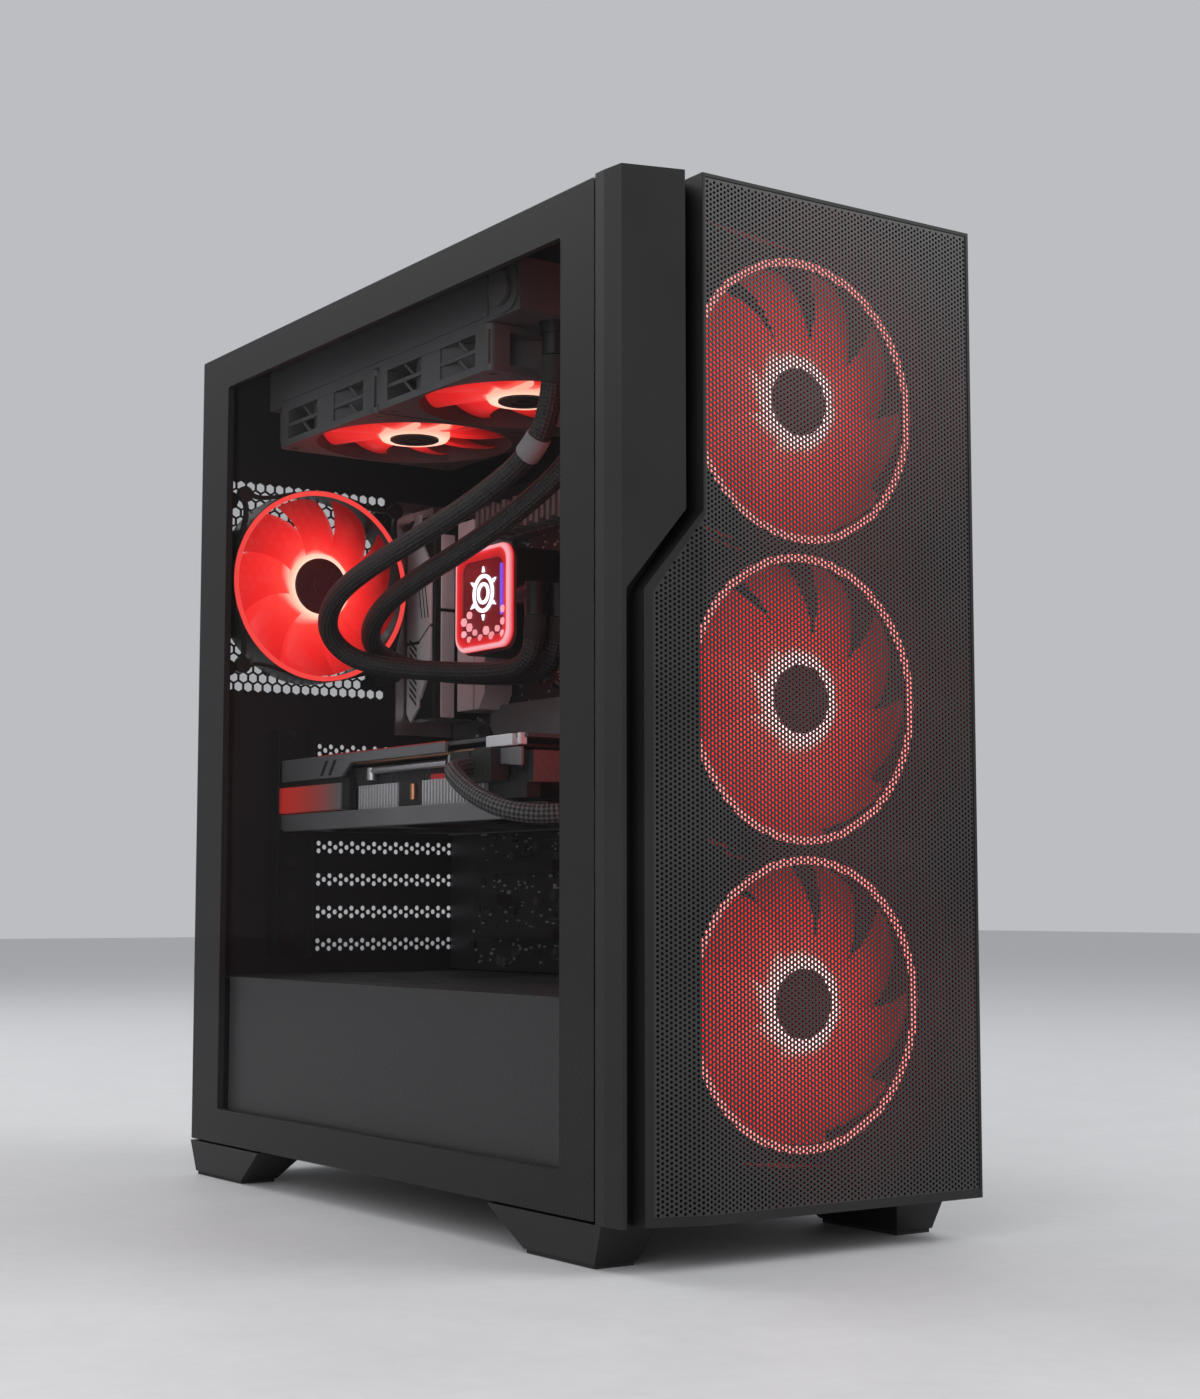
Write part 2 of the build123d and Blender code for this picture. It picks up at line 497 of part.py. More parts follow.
# ---- power supply ----
def power_supply():
    """Supply case with a fan, a wire guard, an inlet, a switch and a slide-out filter below."""
    x0, x1 = PSU_X, PSU_X + PSU_WIDTH
    y0, y1 = REAR - SHEET - PSU_DEEP, REAR - SHEET
    z0, z1 = BASE + SHEET + 1.5, BASE + SHEET + 1.5 + PSU_TALL
    fan_x, fan_y = (x0 + x1) / 2, (y0 + y1) / 2
    case = slab(x0, x1, y0, y1, z0, z1)
    case = case - slab(x0 + 1, x1 - 1, y0 + 1, y1 - 1, z0 + 1, z1 - 1)
    case = case - rod_z(fan_x, fan_y, z0 - 1, z0 + 2, PSU_FAN / 2)
    inlet_x, switch_x, mid_z = x0 + 24, x0 + 52, (z0 + z1) / 2
    case = case - slab(inlet_x - 14, inlet_x + 14, y1 - 2, y1 + 1, mid_z - 10, mid_z + 10)
    case = case - slab(switch_x - 7, switch_x + 7, y1 - 2, y1 + 1, mid_z - 10, mid_z + 10)
    for px in range(8):
        for pz in range(9):
            cx, cz = x1 - 8 - 8 * px, z0 + 8 + 8.6 * pz
            case = case - Pos(cx, y1, cz) * Rot(90, 0, 0) * Cylinder(2.9, 4)
    guard = None
    for r in (16, 26, 36, 46, 56):
        loop = Pos(fan_x, fan_y, z0 - 0.75) * Torus(r, 0.7)
        guard = loop if guard is None else guard + loop
    for angle in (0, 90):
        bar = Pos(fan_x, fan_y, z0 - 0.75) * Rot(0, 0, angle) * Rot(0, 90, 0) * Cylinder(0.74, 132)
        guard = guard + bar
    save("supply_case", case, guard)
    fan = Pos(fan_x, fan_y, z0 + 13) * Rot(180, 0, 0) * rotor(58.0, 21.0, 18.0, 7, 34.0)
    save("supply_fan_rotor", fan)
    body = slab(inlet_x - 13.8, inlet_x + 13.8, y1 - 19, y1 + 0.6, mid_z - 9.8, mid_z + 9.8)
    body = body - slab(inlet_x - 12, inlet_x + 12, y1 - 16, y1 + 2, mid_z - 8, mid_z + 8)
    for dx, dz in ((-7, -2), (7, -2), (0, 2)):
        x, z = inlet_x + dx, mid_z + dz
        body = body + slab(x - 1, x + 1, y1 - 17, y1 - 7, z - 2, z + 2)
    socket = slab(switch_x - 6.8, switch_x + 6.8, y1 - 14, y1 + 0.6, mid_z - 9.8, mid_z + 9.8)
    socket = socket - slab(switch_x - 5.2, switch_x + 5.2, y1 - 12, y1 + 2, mid_z - 8.4, mid_z + 8.4)
    save("supply_inlet", body, socket)
    save("supply_switch", rocker(switch_x, y1, mid_z))
    a, b = FILTER_X - FILTER_WIDTH / 2, FILTER_X + FILTER_WIDTH / 2
    c, d, low = FILTER_Y0 + 2, REAR - SHEET, BASE - 3.0
    mesh_hole = box_points(a + 8, b - 8, c + 8, d - 8)
    tray = sheet(box_points(a, b, c, d), [mesh_hole], on_z(low), 2.4)
    screen = slab(a + 8, b - 8, c + 8, d - 8, low + 0.8, low + 1.4)
    pull = slab(FILTER_X - 15, FILTER_X + 15, d, REAR + 4, low, low + 2.4)
    save("supply_filter", joined(tray, screen, pull))


def rocker(x, y, z):
    """Rocker with its pivot along X, tipped so that one end stands out."""
    tilt = 8.0
    points = [(-7.4, -2.5), (7.4, -2.5), (7.8, 0.9), (0.0, -0.4), (-7.8, 0.9)]
    wire = Wire.make_polygon([Vector(x - 5.0, y + v, z + u) for u, v in points], close=True)
    cap = Solid.extrude(Face(wire), Vector(10.0, 0, 0))
    return cap.rotate(Axis((x, y - 3.0, z), (1, 0, 0)), tilt)


# ---- board ----
def motherboard():
    """Circuit board with its slots, sockets, heatsinks and memory."""
    y1 = REAR - 3.0
    y0, z0, z1 = y1 - BOARD_DEPTH, BOARD_Z, BOARD_Z + BOARD_HEIGHT
    board = slab(BOARD_X, BOARD_X + 1.6, y0, y1, z0, z1)
    for y, z in BOARD_HOLES:
        board = board - rod_x(BOARD_X - 1, BOARD_X + 3, y, z, 1.9)
    save("motherboard", board)
    blocks = [slab(BOARD_X - h, BOARD_X, REAR - 28, REAR + 0.6, z, z + t) for z, t, h in IO_BLOCKS]
    shield = slab(BOARD_X - 42, BOARD_X, REAR - 2 * SHEET, REAR - SHEET, SLOT_Z[-1] + 12, SLOT_Z[-1] + 164)
    for block in blocks:
        shield = shield + block
    save("rear_ports", shield)
    cover = slab(BOARD_X - 34, BOARD_X - 1, REAR - 35, REAR - 30, 277, 411)
    cover = cover + slab(BOARD_X - 34, BOARD_X - 31, REAR - 30, REAR - 4, 277, 411)
    power = slab(BOARD_X - 22, BOARD_X - 1, REAR - 78, REAR - 44, 287, 405)
    power = chamfer(power.edges().group_by(Axis.X)[0], 2.0)
    save("port_cover_heatsink", chamfer(cover.edges().filter_by(Axis.Y).group_by(Axis.X)[0], 2.0), power)
    fins = slab(BOARD_X - 26, BOARD_X - 1, PUMP_Y - 42, PUMP_Y + 50, 389, 409)
    for i in range(8):
        y = PUMP_Y - 34 + 10.5 * i
        fins = fins - slab(BOARD_X - 27, BOARD_X - 8, y, y + 4, 380, 420)
    chip = slab(BOARD_X - 8, BOARD_X, y0 + 12, y0 + 74, z0 + 26, z0 + 84)
    chip = chamfer(chip.edges().filter_by(Axis.X), 8.0)
    stick = slab(BOARD_X - 7, BOARD_X, y0 + 92, y0 + 186, SLOT_Z[6] + 4, SLOT_Z[6] + 28)
    save("board_heatsinks", fins, chip, stick)
    slots = [slab(BOARD_X - 11, BOARD_X, y1 - 137, y1 - 48, SLOT_Z[i] + 4, SLOT_Z[i] + 11) for i in (0, 2)]
    slots.append(slab(BOARD_X - 11, BOARD_X, y1 - 74, y1 - 48, SLOT_Z[1] + 4, SLOT_Z[1] + 11))
    slots += [slab(BOARD_X - 8, BOARD_X, y - 3.2, y + 3.2, 275, 415) for y in MEMORY_Y]
    slots.append(slab(BOARD_X - 12, BOARD_X, y0 + 2, y0 + 12, 300, 352))
    slots.append(slab(BOARD_X - 9, BOARD_X, y0 + 2, y0 + 14, 266, 292))
    slots.append(slab(BOARD_X - 8, BOARD_X, PUMP_Y - 24, PUMP_Y + 24, PUMP_Z - 24, PUMP_Z + 24))
    save("board_slots", *slots)
    sticks = []
    for y in MEMORY_Y:
        stick = slab(BOARD_X - 32, BOARD_X - 8, y - 2.6, y + 2.6, 279, 411)
        sticks.append(chamfer(stick.edges().filter_by(Axis.Y).group_by(Axis.X)[0], 1.0))
    save("memory_modules", *sticks)


IO_BLOCKS = (
    (278.0, 34.0, 27.0),
    (315.0, 16.0, 16.0),
    (334.0, 16.0, 16.0),
    (354.0, 18.0, 14.0),
    (375.0, 20.0, 22.0),
    (397.0, 18.0, 30.0),
)
MEMORY_Y = (36.0, 27.0, 18.0, 9.0)


# ---- liquid cooler ----
TUBE_R = 6.0
RAD_PORTS = ((-48.0, RAD_Y0 + 14.0), (-20.0, RAD_Y0 + 14.0))
PUMP_PORTS_X, PUMP_PORT_Y, ELBOW_Z = (31.0, 47.0), 54.0, 328.0
RAD_PORT_Z = RAD_Z - 17.0
TUBE_ROUTES = (
    [
        (-48, -86, RAD_PORT_Z), (-47, -83, 415), (-49, -63, 392), (-53, -16, 376), (-56, 40, 364),
        (-59, 98, 352), (-58, 137, 341), (-50, 163, 325), (-32, 168, 310), (-13, 149, 303),
        (6, 116, 299), (22, 86, 297), (30, 65, 299), (31, 55, 311), (31, 54, ELBOW_Z),
    ],
    [
        (-20, -86, RAD_PORT_Z), (-20, -84, 416), (-26, -66, 390), (-34, -30, 371), (-39, 12, 357),
        (-42, 60, 346), (-39, 108, 336), (-28, 148, 326), (-10, 175, 316), (11, 174, 307),
        (28, 150, 302), (39, 120, 299), (46, 88, 297), (47, 67, 299), (47, 56, 310), (47, 54, ELBOW_Z),
    ],
)


def radiator():
    """Core between two tanks, and the fittings at both ends of the tubes."""
    x0, x1, z0, z1 = RAD_X, RAD_X + RAD_WIDTH, RAD_Z, RAD_Z + RAD_THICK
    core = slab(x0 + 3, x1 - 3, RAD_Y0 + 28, RAD_Y1 - 14, z0 + 1, z1 - 1)
    tanks = [slab(x0, x1, RAD_Y0, RAD_Y0 + 28, z0, z1), slab(x0, x1, RAD_Y1 - 14, RAD_Y1, z0, z1)]
    rails = [slab(x, x + 3, RAD_Y0 + 28, RAD_Y1 - 14, z0, z1) for x in (x0, x1 - 3)]
    save("radiator", joined(core, *tanks, *rails))
    fittings = []
    for x, y in RAD_PORTS:
        fittings.append(rod_z(x, y, RAD_Z - 6, RAD_Z, 8.0) + rod_z(x, y, RAD_PORT_Z, RAD_Z - 6, 6.4))
    for x in PUMP_PORTS_X:
        upright = rod_z(x, PUMP_PORT_Y, ELBOW_Z, PUMP_Z + 6.6, 6.6)
        fittings.append(upright + rod_y(x, PUMP_PORT_Y, PUMP_Y - PUMP_SIZE / 2, PUMP_Z, 6.6))
    save("tube_fittings", *fittings)


def pump():
    """Pump block over the socket, and its lit cap."""
    half = PUMP_SIZE / 2
    block = slab(PUMP_FACE_X + 4, BOARD_X - 8, PUMP_Y - half, PUMP_Y + half, PUMP_Z - half, PUMP_Z + half)
    block = fillet(block.edges().filter_by(Axis.X), 10.0)
    arms = slab(BOARD_X - 12, BOARD_X - 9, PUMP_Y - 44, PUMP_Y + 44, PUMP_Z - 8, PUMP_Z + 8)
    save("pump_block", block + arms)
    y, z = PUMP_Y + 3, PUMP_Z + 2
    cap = slab(PUMP_FACE_X, PUMP_FACE_X + 4, y - half, y + half, z - half, z + half)
    cap = fillet(cap.edges().filter_by(Axis.X), 10.0)
    save("pump_cap", chamfer(cap.faces().sort_by(Axis.X)[0].edges(), 1.2))


def tube_path(points):
    """Straight runs joined by arcs as large as the runs allow."""
    corners = [Vector(*p) for p in points]
    radii = []
    for before, here, after in zip(corners, corners[1:], corners[2:]):
        turn = radians((here - before).get_angle(after - here))
        shorter = min((here - before).length, (after - here).length)
        radii.append(0.45 * shorter / tan(turn / 2))
    print("tube radii", [round(r) for r in radii])
    return FilletPolyline(*corners, radius=radii)


def tube(points, radius):
    """A round tube along a route."""
    path = tube_path(points)
    start = Plane(origin=path @ 0, z_dir=path % 0)
    solid = sweep(start * Circle(radius), path=path)
    print("tube volume", round(solid.volume), "expected", round(path.length * pi * radius**2))
    return solid


# ---- graphics card ----
def graphics_card():
    """Card hanging over the lower slots: board, backplate, fin stack, fan cover and bracket."""
    x0, x1, y0, y1, z0, z1 = CARD_X0, CARD_X1, CARD_Y0, CARD_Y1, CARD_Z0, CARD_Z1
    board = slab(x0 + 6, x1, y0 + 20, y1, z1 - 6, z1 - 4.4)
    board = board + slab(x1, BOARD_X, y1 - 130, y1 - 42, z1 - 6, z1 - 4.4)
    save("card_board", board)
    plate = sheet(
        box_points(x0, x1 - 6, y0 + 4, y1),
        [box_points(x0 + 24, x1 - 26, y0 + 10 + 7 * i, y0 + 13 + 7 * i) for i in range(8)],
        on_z(z1 - 2.4),
        2.4,
    )
    lip = slab(x0, x0 + 1.6, y1 - 199, y1 + 8, z1 - 17, z1 - 2.4)
    badge = slab(x0, x0 + 1.6, y1 - 81, y1 + 8, z0 + 11.5, z1 - 17)
    save("card_backplate", joined(plate, lip, badge))
    fins = slab(x0 + 8, x1 - 10, y0 + 8, y1 - 6, z0 + 19, z1 - 8)
    fins = fins - slab(x0 + 7, x0 + 11, y1 - 104, y1 - 92, z0 + 18, z1)
    save("card_heatsink", fins)
    cover = slab(x0 + 2, x1 - 4, y0, y1 - 1, z0, z0 + 18.5)
    cover = chamfer(cover.edges().filter_by(Axis.Y).group_by(Axis.Z)[0], 6.0)
    cover = cover - slab(x0 + 6, x1 - 8, y0 + 4, y1 - 5, z0 + 14, z0 + 20)
    for y in CARD_FAN_Y:
        cover = cover - rod_z(CARD_FAN_X, y, z0 - 1, z0 + 20, 44.5)
    save("card_fan_cover", cover)
    for i, y in enumerate(CARD_FAN_Y):
        spin = Pos(CARD_FAN_X, y, z0 + 8.2) * Rot(180, 0, 0)
        save(f"card_fan_{i + 1}", spin * card_rotor())
    bracket = slab(-27, 82, REAR - 2 * SHEET, REAR - SHEET, SLOT_Z[4] - 9.4, SLOT_Z[5] + 9.4)
    bracket = bracket + slab(-28, -27, REAR - 9, REAR - SHEET, SLOT_Z[4] - 6.5, SLOT_Z[5] + 6.5)
    for i in range(10):
        x = -18 + 9.6 * i
        bracket = bracket - slab(x, x + 6, REAR - 4, REAR, SLOT_Z[4] - 5, SLOT_Z[4] + 5)
    for i in range(4):
        x = -14 + 22 * i
        bracket = bracket + slab(x, x + 17, CARD_Y1, REAR - 2 * SHEET, SLOT_Z[5] - 5, SLOT_Z[5] + 6)
    save("card_bracket", bracket)
    plug = slab(x0 - 6, x0 + 7.5, y0 + 28, y0 + 70, z1 - 24, z1 - 18)
    save("card_power_plug", plug + slab(x0 - 6, x0 + 5, y0 + 30, y0 + 68, z1 - 18, z1 - 7))
    save("card_power_cable", tube(CABLE_ROUTE, CABLE_R))


CABLE_R = 5.0
CABLE_ROUTE = [
    (CARD_X0 - 6, CARD_Y0 + 49, 233), (-68, -19, 232), (-76, -36, 226), (-78, -60, 215), (-72, -85, 206),
    (-53, -106, 205), (-20, -115, 213), (20, -105, 232), (52, -81, 252), (68, -52, 262),
    (TRAY_X - 1.6, -35, 264),
]
CARD_FAN_X = (CARD_X0 + CARD_X1) / 2 - 1
CARD_FAN_Y = (CARD_Y0 + 56, CARD_Y0 + 150, CARD_Y0 + 244)


def card_rotor():
    """Thin graphics-card rotor."""
    return rotor(42.6, 15.0, 9.0, 9, 14.0)


def main():
    os.makedirs("parts", exist_ok=True)
    rear_panel()
    chassis_shell()
    supply_shroud()
    slot_covers()
    drive_cage()
    feet()
    side_panels()
    front_bezel()
    port_strip()
    mesh_panel()
    top_filter()
    power_supply()
    motherboard()
    radiator()
    pump()
    case_fans()
    graphics_card()
    for i, points in enumerate(TUBE_ROUTES):
        save(f"coolant_tube_{i + 1}", tube(points, TUBE_R))


main()
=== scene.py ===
"""Looks of the desktop tower: materials, perforated front, lit fans, cooler, card, board and panels.

Geometry is worked out in millimetres and scaled to metres when a piece is made. Places come from
the CAD nodes, and small offsets from a node's corner are the object's own dimensions.
"""
import json
import math
import random

import bmesh
import bpy
import numpy as np
from mathutils import Matrix, Vector


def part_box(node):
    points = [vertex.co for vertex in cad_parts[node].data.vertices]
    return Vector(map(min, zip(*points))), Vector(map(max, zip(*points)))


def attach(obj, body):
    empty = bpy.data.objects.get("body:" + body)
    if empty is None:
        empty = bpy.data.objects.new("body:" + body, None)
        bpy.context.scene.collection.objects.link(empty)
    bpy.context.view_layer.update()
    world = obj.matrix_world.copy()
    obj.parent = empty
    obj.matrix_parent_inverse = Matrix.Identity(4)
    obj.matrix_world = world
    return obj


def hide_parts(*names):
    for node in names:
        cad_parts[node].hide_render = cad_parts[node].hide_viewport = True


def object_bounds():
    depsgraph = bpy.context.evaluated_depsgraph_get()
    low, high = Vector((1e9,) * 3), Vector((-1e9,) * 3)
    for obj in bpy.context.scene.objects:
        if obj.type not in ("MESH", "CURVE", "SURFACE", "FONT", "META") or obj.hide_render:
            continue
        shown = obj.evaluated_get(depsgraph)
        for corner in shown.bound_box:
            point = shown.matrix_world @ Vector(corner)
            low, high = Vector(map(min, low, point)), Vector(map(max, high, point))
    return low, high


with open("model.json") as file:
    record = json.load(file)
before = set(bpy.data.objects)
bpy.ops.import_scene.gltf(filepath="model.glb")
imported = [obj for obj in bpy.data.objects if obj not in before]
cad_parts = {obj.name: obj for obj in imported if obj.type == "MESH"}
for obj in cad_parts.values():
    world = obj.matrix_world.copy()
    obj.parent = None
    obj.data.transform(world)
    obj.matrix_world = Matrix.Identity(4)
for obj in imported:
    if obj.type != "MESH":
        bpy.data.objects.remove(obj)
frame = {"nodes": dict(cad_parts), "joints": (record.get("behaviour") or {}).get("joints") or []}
CAD_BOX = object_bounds()
NODES = frame["nodes"]
MM = 0.001
DRAW = random.Random(11)


def span(node_name):
    """Lowest and highest corner of a CAD node, in millimetres."""
    low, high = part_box(node_name)
    return low / MM, high / MM


LEFT, FRONT = CAD_BOX[0].x / MM, CAD_BOX[0].y / MM
JOINT = {joint["name"]: joint for joint in frame["joints"]}


# ---- materials ----
def add_node(tree, kind, settings=None, **inputs):
    """One shader node, with its settings and its inputs, which are values or other nodes' outputs."""
    made = tree.nodes.new("ShaderNode" + kind)
    for key, value in (settings or {}).items():
        setattr(made, key, value)
    for key, value in inputs.items():
        socket = made.inputs[key.replace("_", " ")]
        if isinstance(value, bpy.types.NodeSocket):
            tree.links.new(value, socket)
        else:
            socket.default_value = value
    return made


def calc(tree, operation, *values):
    """Output of a math node on values or other nodes' outputs."""
    made = add_node(tree, "Math", {"operation": operation})
    for socket, value in zip(made.inputs, values):
        if isinstance(value, bpy.types.NodeSocket):
            tree.links.new(value, socket)
        else:
            socket.default_value = value
    return made.outputs[0]


def ramp(tree, factor, stops):
    """A colour ramp through (place, (r, g, b)) stops."""
    made = add_node(tree, "ValToRGB", Fac=factor)
    elements = made.color_ramp.elements
    while len(elements) < len(stops):
        elements.new(0.5)
    for element, (place, colour) in zip(elements, stops):
        element.position = place
        element.color = (*colour, 1.0)
    return made.outputs["Color"]


def blank(name):
    """A new node material, its tree and its shader."""
    made = bpy.data.materials.new(name)
    made.use_nodes = True
    return made, made.node_tree, made.node_tree.nodes["Principled BSDF"]


def finish(name, dark, light, rough=(0.45, 0.6), metal=0.0, grain=1400.0, bump=0.2, stretch=(1, 1, 1),
           specular=0.5):
    """A surface with fine grain, broad colour variation and bump, on object coordinates.

    dark and light are colours, or levels of grey.
    """
    made, tree, shader = blank(name)
    dark, light = [grey(colour) if isinstance(colour, float) else colour for colour in (dark, light)]
    place = add_node(tree, "TexCoord").outputs["Object"]
    mapped = add_node(tree, "Mapping", Vector=place, Scale=stretch).outputs["Vector"]
    fine = add_node(tree, "TexNoise", Vector=mapped, Scale=grain, Detail=3.0).outputs["Fac"]
    broad = add_node(tree, "TexNoise", Vector=place, Scale=17.0, Detail=3.0).outputs["Fac"]
    mean = calc(tree, "MULTIPLY_ADD", fine, 0.5, calc(tree, "MULTIPLY", broad, 0.5))
    colour = ramp(tree, mean, [(0.35, dark), (0.65, light)])
    tree.links.new(colour, shader.inputs["Base Color"])
    sheen = add_node(tree, "MapRange", Value=broad, To_Min=rough[0], To_Max=rough[1])
    tree.links.new(sheen.outputs["Result"], shader.inputs["Roughness"])
    relief = add_node(tree, "Bump", Strength=bump, Distance=0.0001, Height=fine)
    tree.links.new(relief.outputs["Normal"], shader.inputs["Normal"])
    shader.inputs["Metallic"].default_value = metal
    shader.inputs["Specular IOR Level"].default_value = specular
    return made


def lit(name, stops, strength, base=(0.35, 0.01, 0.01), alpha=1.0):
    """A glowing plastic whose colour follows the mesh attribute glow."""
    made, tree, shader = blank(name)
    glow = add_node(tree, "Attribute", {"attribute_name": "glow"}).outputs["Fac"]
    place = add_node(tree, "TexCoord").outputs["Object"]
    cloud = add_node(tree, "TexNoise", Vector=place, Scale=60.0, Detail=2.0).outputs["Fac"]
    shift = add_node(tree, "MapRange", Value=cloud, To_Min=-0.04, To_Max=0.04).outputs["Result"]
    colour = ramp(tree, calc(tree, "ADD", glow, shift), stops)
    tree.links.new(colour, shader.inputs["Emission Color"])
    shader.inputs["Emission Strength"].default_value = strength
    shader.inputs["Base Color"].default_value = (*base, 1)
    shader.inputs["Roughness"].default_value = 0.3
    shader.inputs["Alpha"].default_value = alpha
    return made


def glass(name, tint, alpha, rough=0.02):
    """Tinted clear glass, faintly streaked."""
    made, tree, shader = blank(name)
    place = add_node(tree, "TexCoord").outputs["Object"]
    smear = add_node(tree, "TexNoise", Vector=place, Scale=6.0, Detail=4.0).outputs["Fac"]
    change = add_node(tree, "MapRange", Value=smear, To_Min=rough, To_Max=rough + 0.02)
    tree.links.new(change.outputs["Result"], shader.inputs["Roughness"])
    shader.inputs["Base Color"].default_value = (*tint, 1)
    shader.inputs["Alpha"].default_value = alpha
    shader.inputs["Specular IOR Level"].default_value = 0.2
    return made


def braid(name, dark, light, turns, rings):
    """Woven sleeve: two sets of slanting threads, on the tube's own coordinates, in two greys."""
    made, tree, shader = blank(name)
    place = add_node(tree, "UVMap", {"uv_map": "UVMap"}).outputs["UV"]
    split = add_node(tree, "SeparateXYZ", Vector=place)
    waves = []
    for slant in (1.0, -1.0):
        along = calc(tree, "MULTIPLY", split.outputs["X"], rings * slant)
        phase = calc(tree, "MULTIPLY_ADD", split.outputs["Y"], 2 * math.pi * turns, along)
        waves.append(calc(tree, "SINE", phase))
    height = calc(tree, "MULTIPLY", *waves)
    level = add_node(tree, "MapRange", Value=height, From_Min=-1.0, From_Max=1.0).outputs["Result"]
    tree.links.new(ramp(tree, level, [(0.4, grey(dark)), (0.62, grey(light))]),
                   shader.inputs["Base Color"])
    relief = add_node(tree, "Bump", Strength=0.9, Distance=0.0008, Height=level)
    tree.links.new(relief.outputs["Normal"], shader.inputs["Normal"])
    shader.inputs["Roughness"].default_value = 0.5
    return made


def grey(level):
    """A neutral colour with a trace of blue."""
    return (level, level, level * 1.04)


DULL = 0.3
STEEL = finish("steel_coat", 0.004, 0.008, (0.42, 0.55), grain=2600.0, bump=0.08, specular=DULL)
STEEL_LIGHT = finish("shroud_coat", 0.035, 0.045, (0.4, 0.5), grain=2600.0, bump=0.06)
PLASTIC = finish("bezel_plastic", 0.010, 0.016, (0.42, 0.55), grain=2200.0, bump=0.12, specular=DULL)
# Near-black plastic for a sheet at the back of the front groove: painted shade in the recess.
GROOVE_SHADE = finish("groove_painted_shade", 0.002, 0.004, (0.35, 0.45), grain=2200.0, bump=0.08, specular=DULL)
MESH_STEEL = finish("mesh_steel", 0.016, 0.028, (0.32, 0.42), grain=1800.0, bump=0.15)
RUBBER = finish("rubber", 0.008, 0.014, (0.7, 0.85), grain=1200.0, bump=0.3)
SCREW = finish("screw_black", 0.03, 0.05, (0.3, 0.45), metal=0.8, grain=900.0, bump=0.1)
PRINT = finish("glass_print", 0.011, 0.014, (0.45, 0.5), grain=400.0, bump=0.02, specular=DULL)
FAN_BLACK = finish("fan_plastic", 0.004, 0.008, (0.35, 0.5), grain=1800.0, bump=0.15, specular=DULL)
FAN_GREY = finish("fan_frame_grey", 0.05, 0.07, (0.4, 0.5), grain=1800.0, bump=0.15)
RADIATOR = finish("radiator_coat", 0.05, 0.07, (0.35, 0.5), grain=1500.0, bump=0.15)
SILVER = finish("brushed_silver", 0.72, 0.9, (0.32, 0.45), metal=0.15, grain=500.0, bump=0.1,
                stretch=(1, 1, 40))
CARD_SILVER = finish("card_silver", 0.17, 0.23, (0.35, 0.45), metal=0.3, grain=600.0, bump=0.08,
                     stretch=(40, 1, 40))
FIN = finish("fin_aluminium", 0.62, 0.78, (0.3, 0.4), metal=0.3, grain=700.0, bump=0.05)
# Painted shade: the fin aluminium darkened for the fins deep behind the cover, where little light reaches.
FIN_PAINTED_SHADE = finish("fin_shadowed", 0.10, 0.16, (0.3, 0.4), metal=0.5, grain=700.0, bump=0.05)
COPPER = finish("copper_pipe", (0.5, 0.22, 0.12), (0.65, 0.32, 0.18), (0.25, 0.35), metal=1.0,
                grain=500.0, bump=0.05)
BOARD = finish("circuit_board", (0.010, 0.011, 0.013), (0.018, 0.019, 0.022), (0.35, 0.5),
               grain=420.0, bump=0.4)
CHIP = finish("chip_plastic", 0.008, 0.014, (0.5, 0.65), grain=1500.0, bump=0.15)
TIN = finish("tin_plate", 0.5, 0.62, (0.28, 0.4), metal=1.0, grain=900.0, bump=0.06)
SCREEN = finish("filter_screen", 0.012, 0.02, (0.6, 0.75), grain=1800.0, bump=0.3)
BUTTON = finish("button_plastic", 0.02, 0.03, (0.3, 0.4), grain=1800.0, bump=0.1)
GOLD = finish("contact_gold", (0.55, 0.38, 0.12), (0.7, 0.5, 0.2), (0.25, 0.35), metal=1.0,
              grain=900.0, bump=0.05)
BLUE = finish("socket_blue", (0.02, 0.08, 0.35), (0.03, 0.10, 0.42), (0.4, 0.5), grain=900.0, bump=0.1)
CLIP = finish("clip_grey", 0.22, 0.28, (0.4, 0.5), grain=1200.0, bump=0.1)
HUB_RED = finish("hub_red", (0.05, 0.001, 0.001), (0.09, 0.003, 0.003), (0.4, 0.5), grain=1800.0, bump=0.1)
GLASS = glass("tinted_glass", (0.0, 0.0, 0.0), 0.14)
SLEEVE = braid("braided_sleeve", 0.0008, 0.032, 8, 1500.0)
CABLE_SLEEVE = braid("cable_sleeve", 0.001, 0.10, 6, 1300.0)

RED_STOPS = [
    (0.0, (0.02, 0.0, 0.0)),
    (0.35, (0.22, 0.003, 0.003)),
    (0.7, (0.85, 0.014, 0.014)),
    (0.88, (1.0, 0.045, 0.035)),
    (1.0, (1.0, 0.46, 0.38)),
]
PUMP_STOPS = [
    (0.0, (0.02, 0.0, 0.002)),
    (0.2, (0.10, 0.002, 0.006)),
    (0.5, (0.75, 0.015, 0.02)),
    (1.0, (1.0, 0.45, 0.5)),
]


def lit_between(name, low, high, strength, **fixed):
    """A lit plastic between two colours, for glow from 0 to 1."""
    return lit(name, [(0.0, low), (1.0, high)], strength, **fixed)


DARK_RED = (0.05, 0.001, 0.001)
GLOW_FAN = lit("fan_glow", RED_STOPS, 1.2, base=DARK_RED)
GLOW_FRONT = lit("front_fan_glow", RED_STOPS, 2.6, base=DARK_RED)
GLOW_CLEAR = lit("clear_fan_glow", RED_STOPS, 1.35, base=DARK_RED, alpha=0.86)
GLOW_RING = lit_between("ring_glow", (0.8, 0.010, 0.010), (1.0, 0.14, 0.12), 1.2)
GLOW_FRONT_RING = lit_between("front_ring_glow", (0.85, 0.012, 0.010), (1.0, 0.20, 0.18), 3.4)
GLOW_FRONT_HUB = lit_between("front_hub_glow", (1.0, 0.10, 0.08), (1.0, 0.55, 0.52), 3.2)
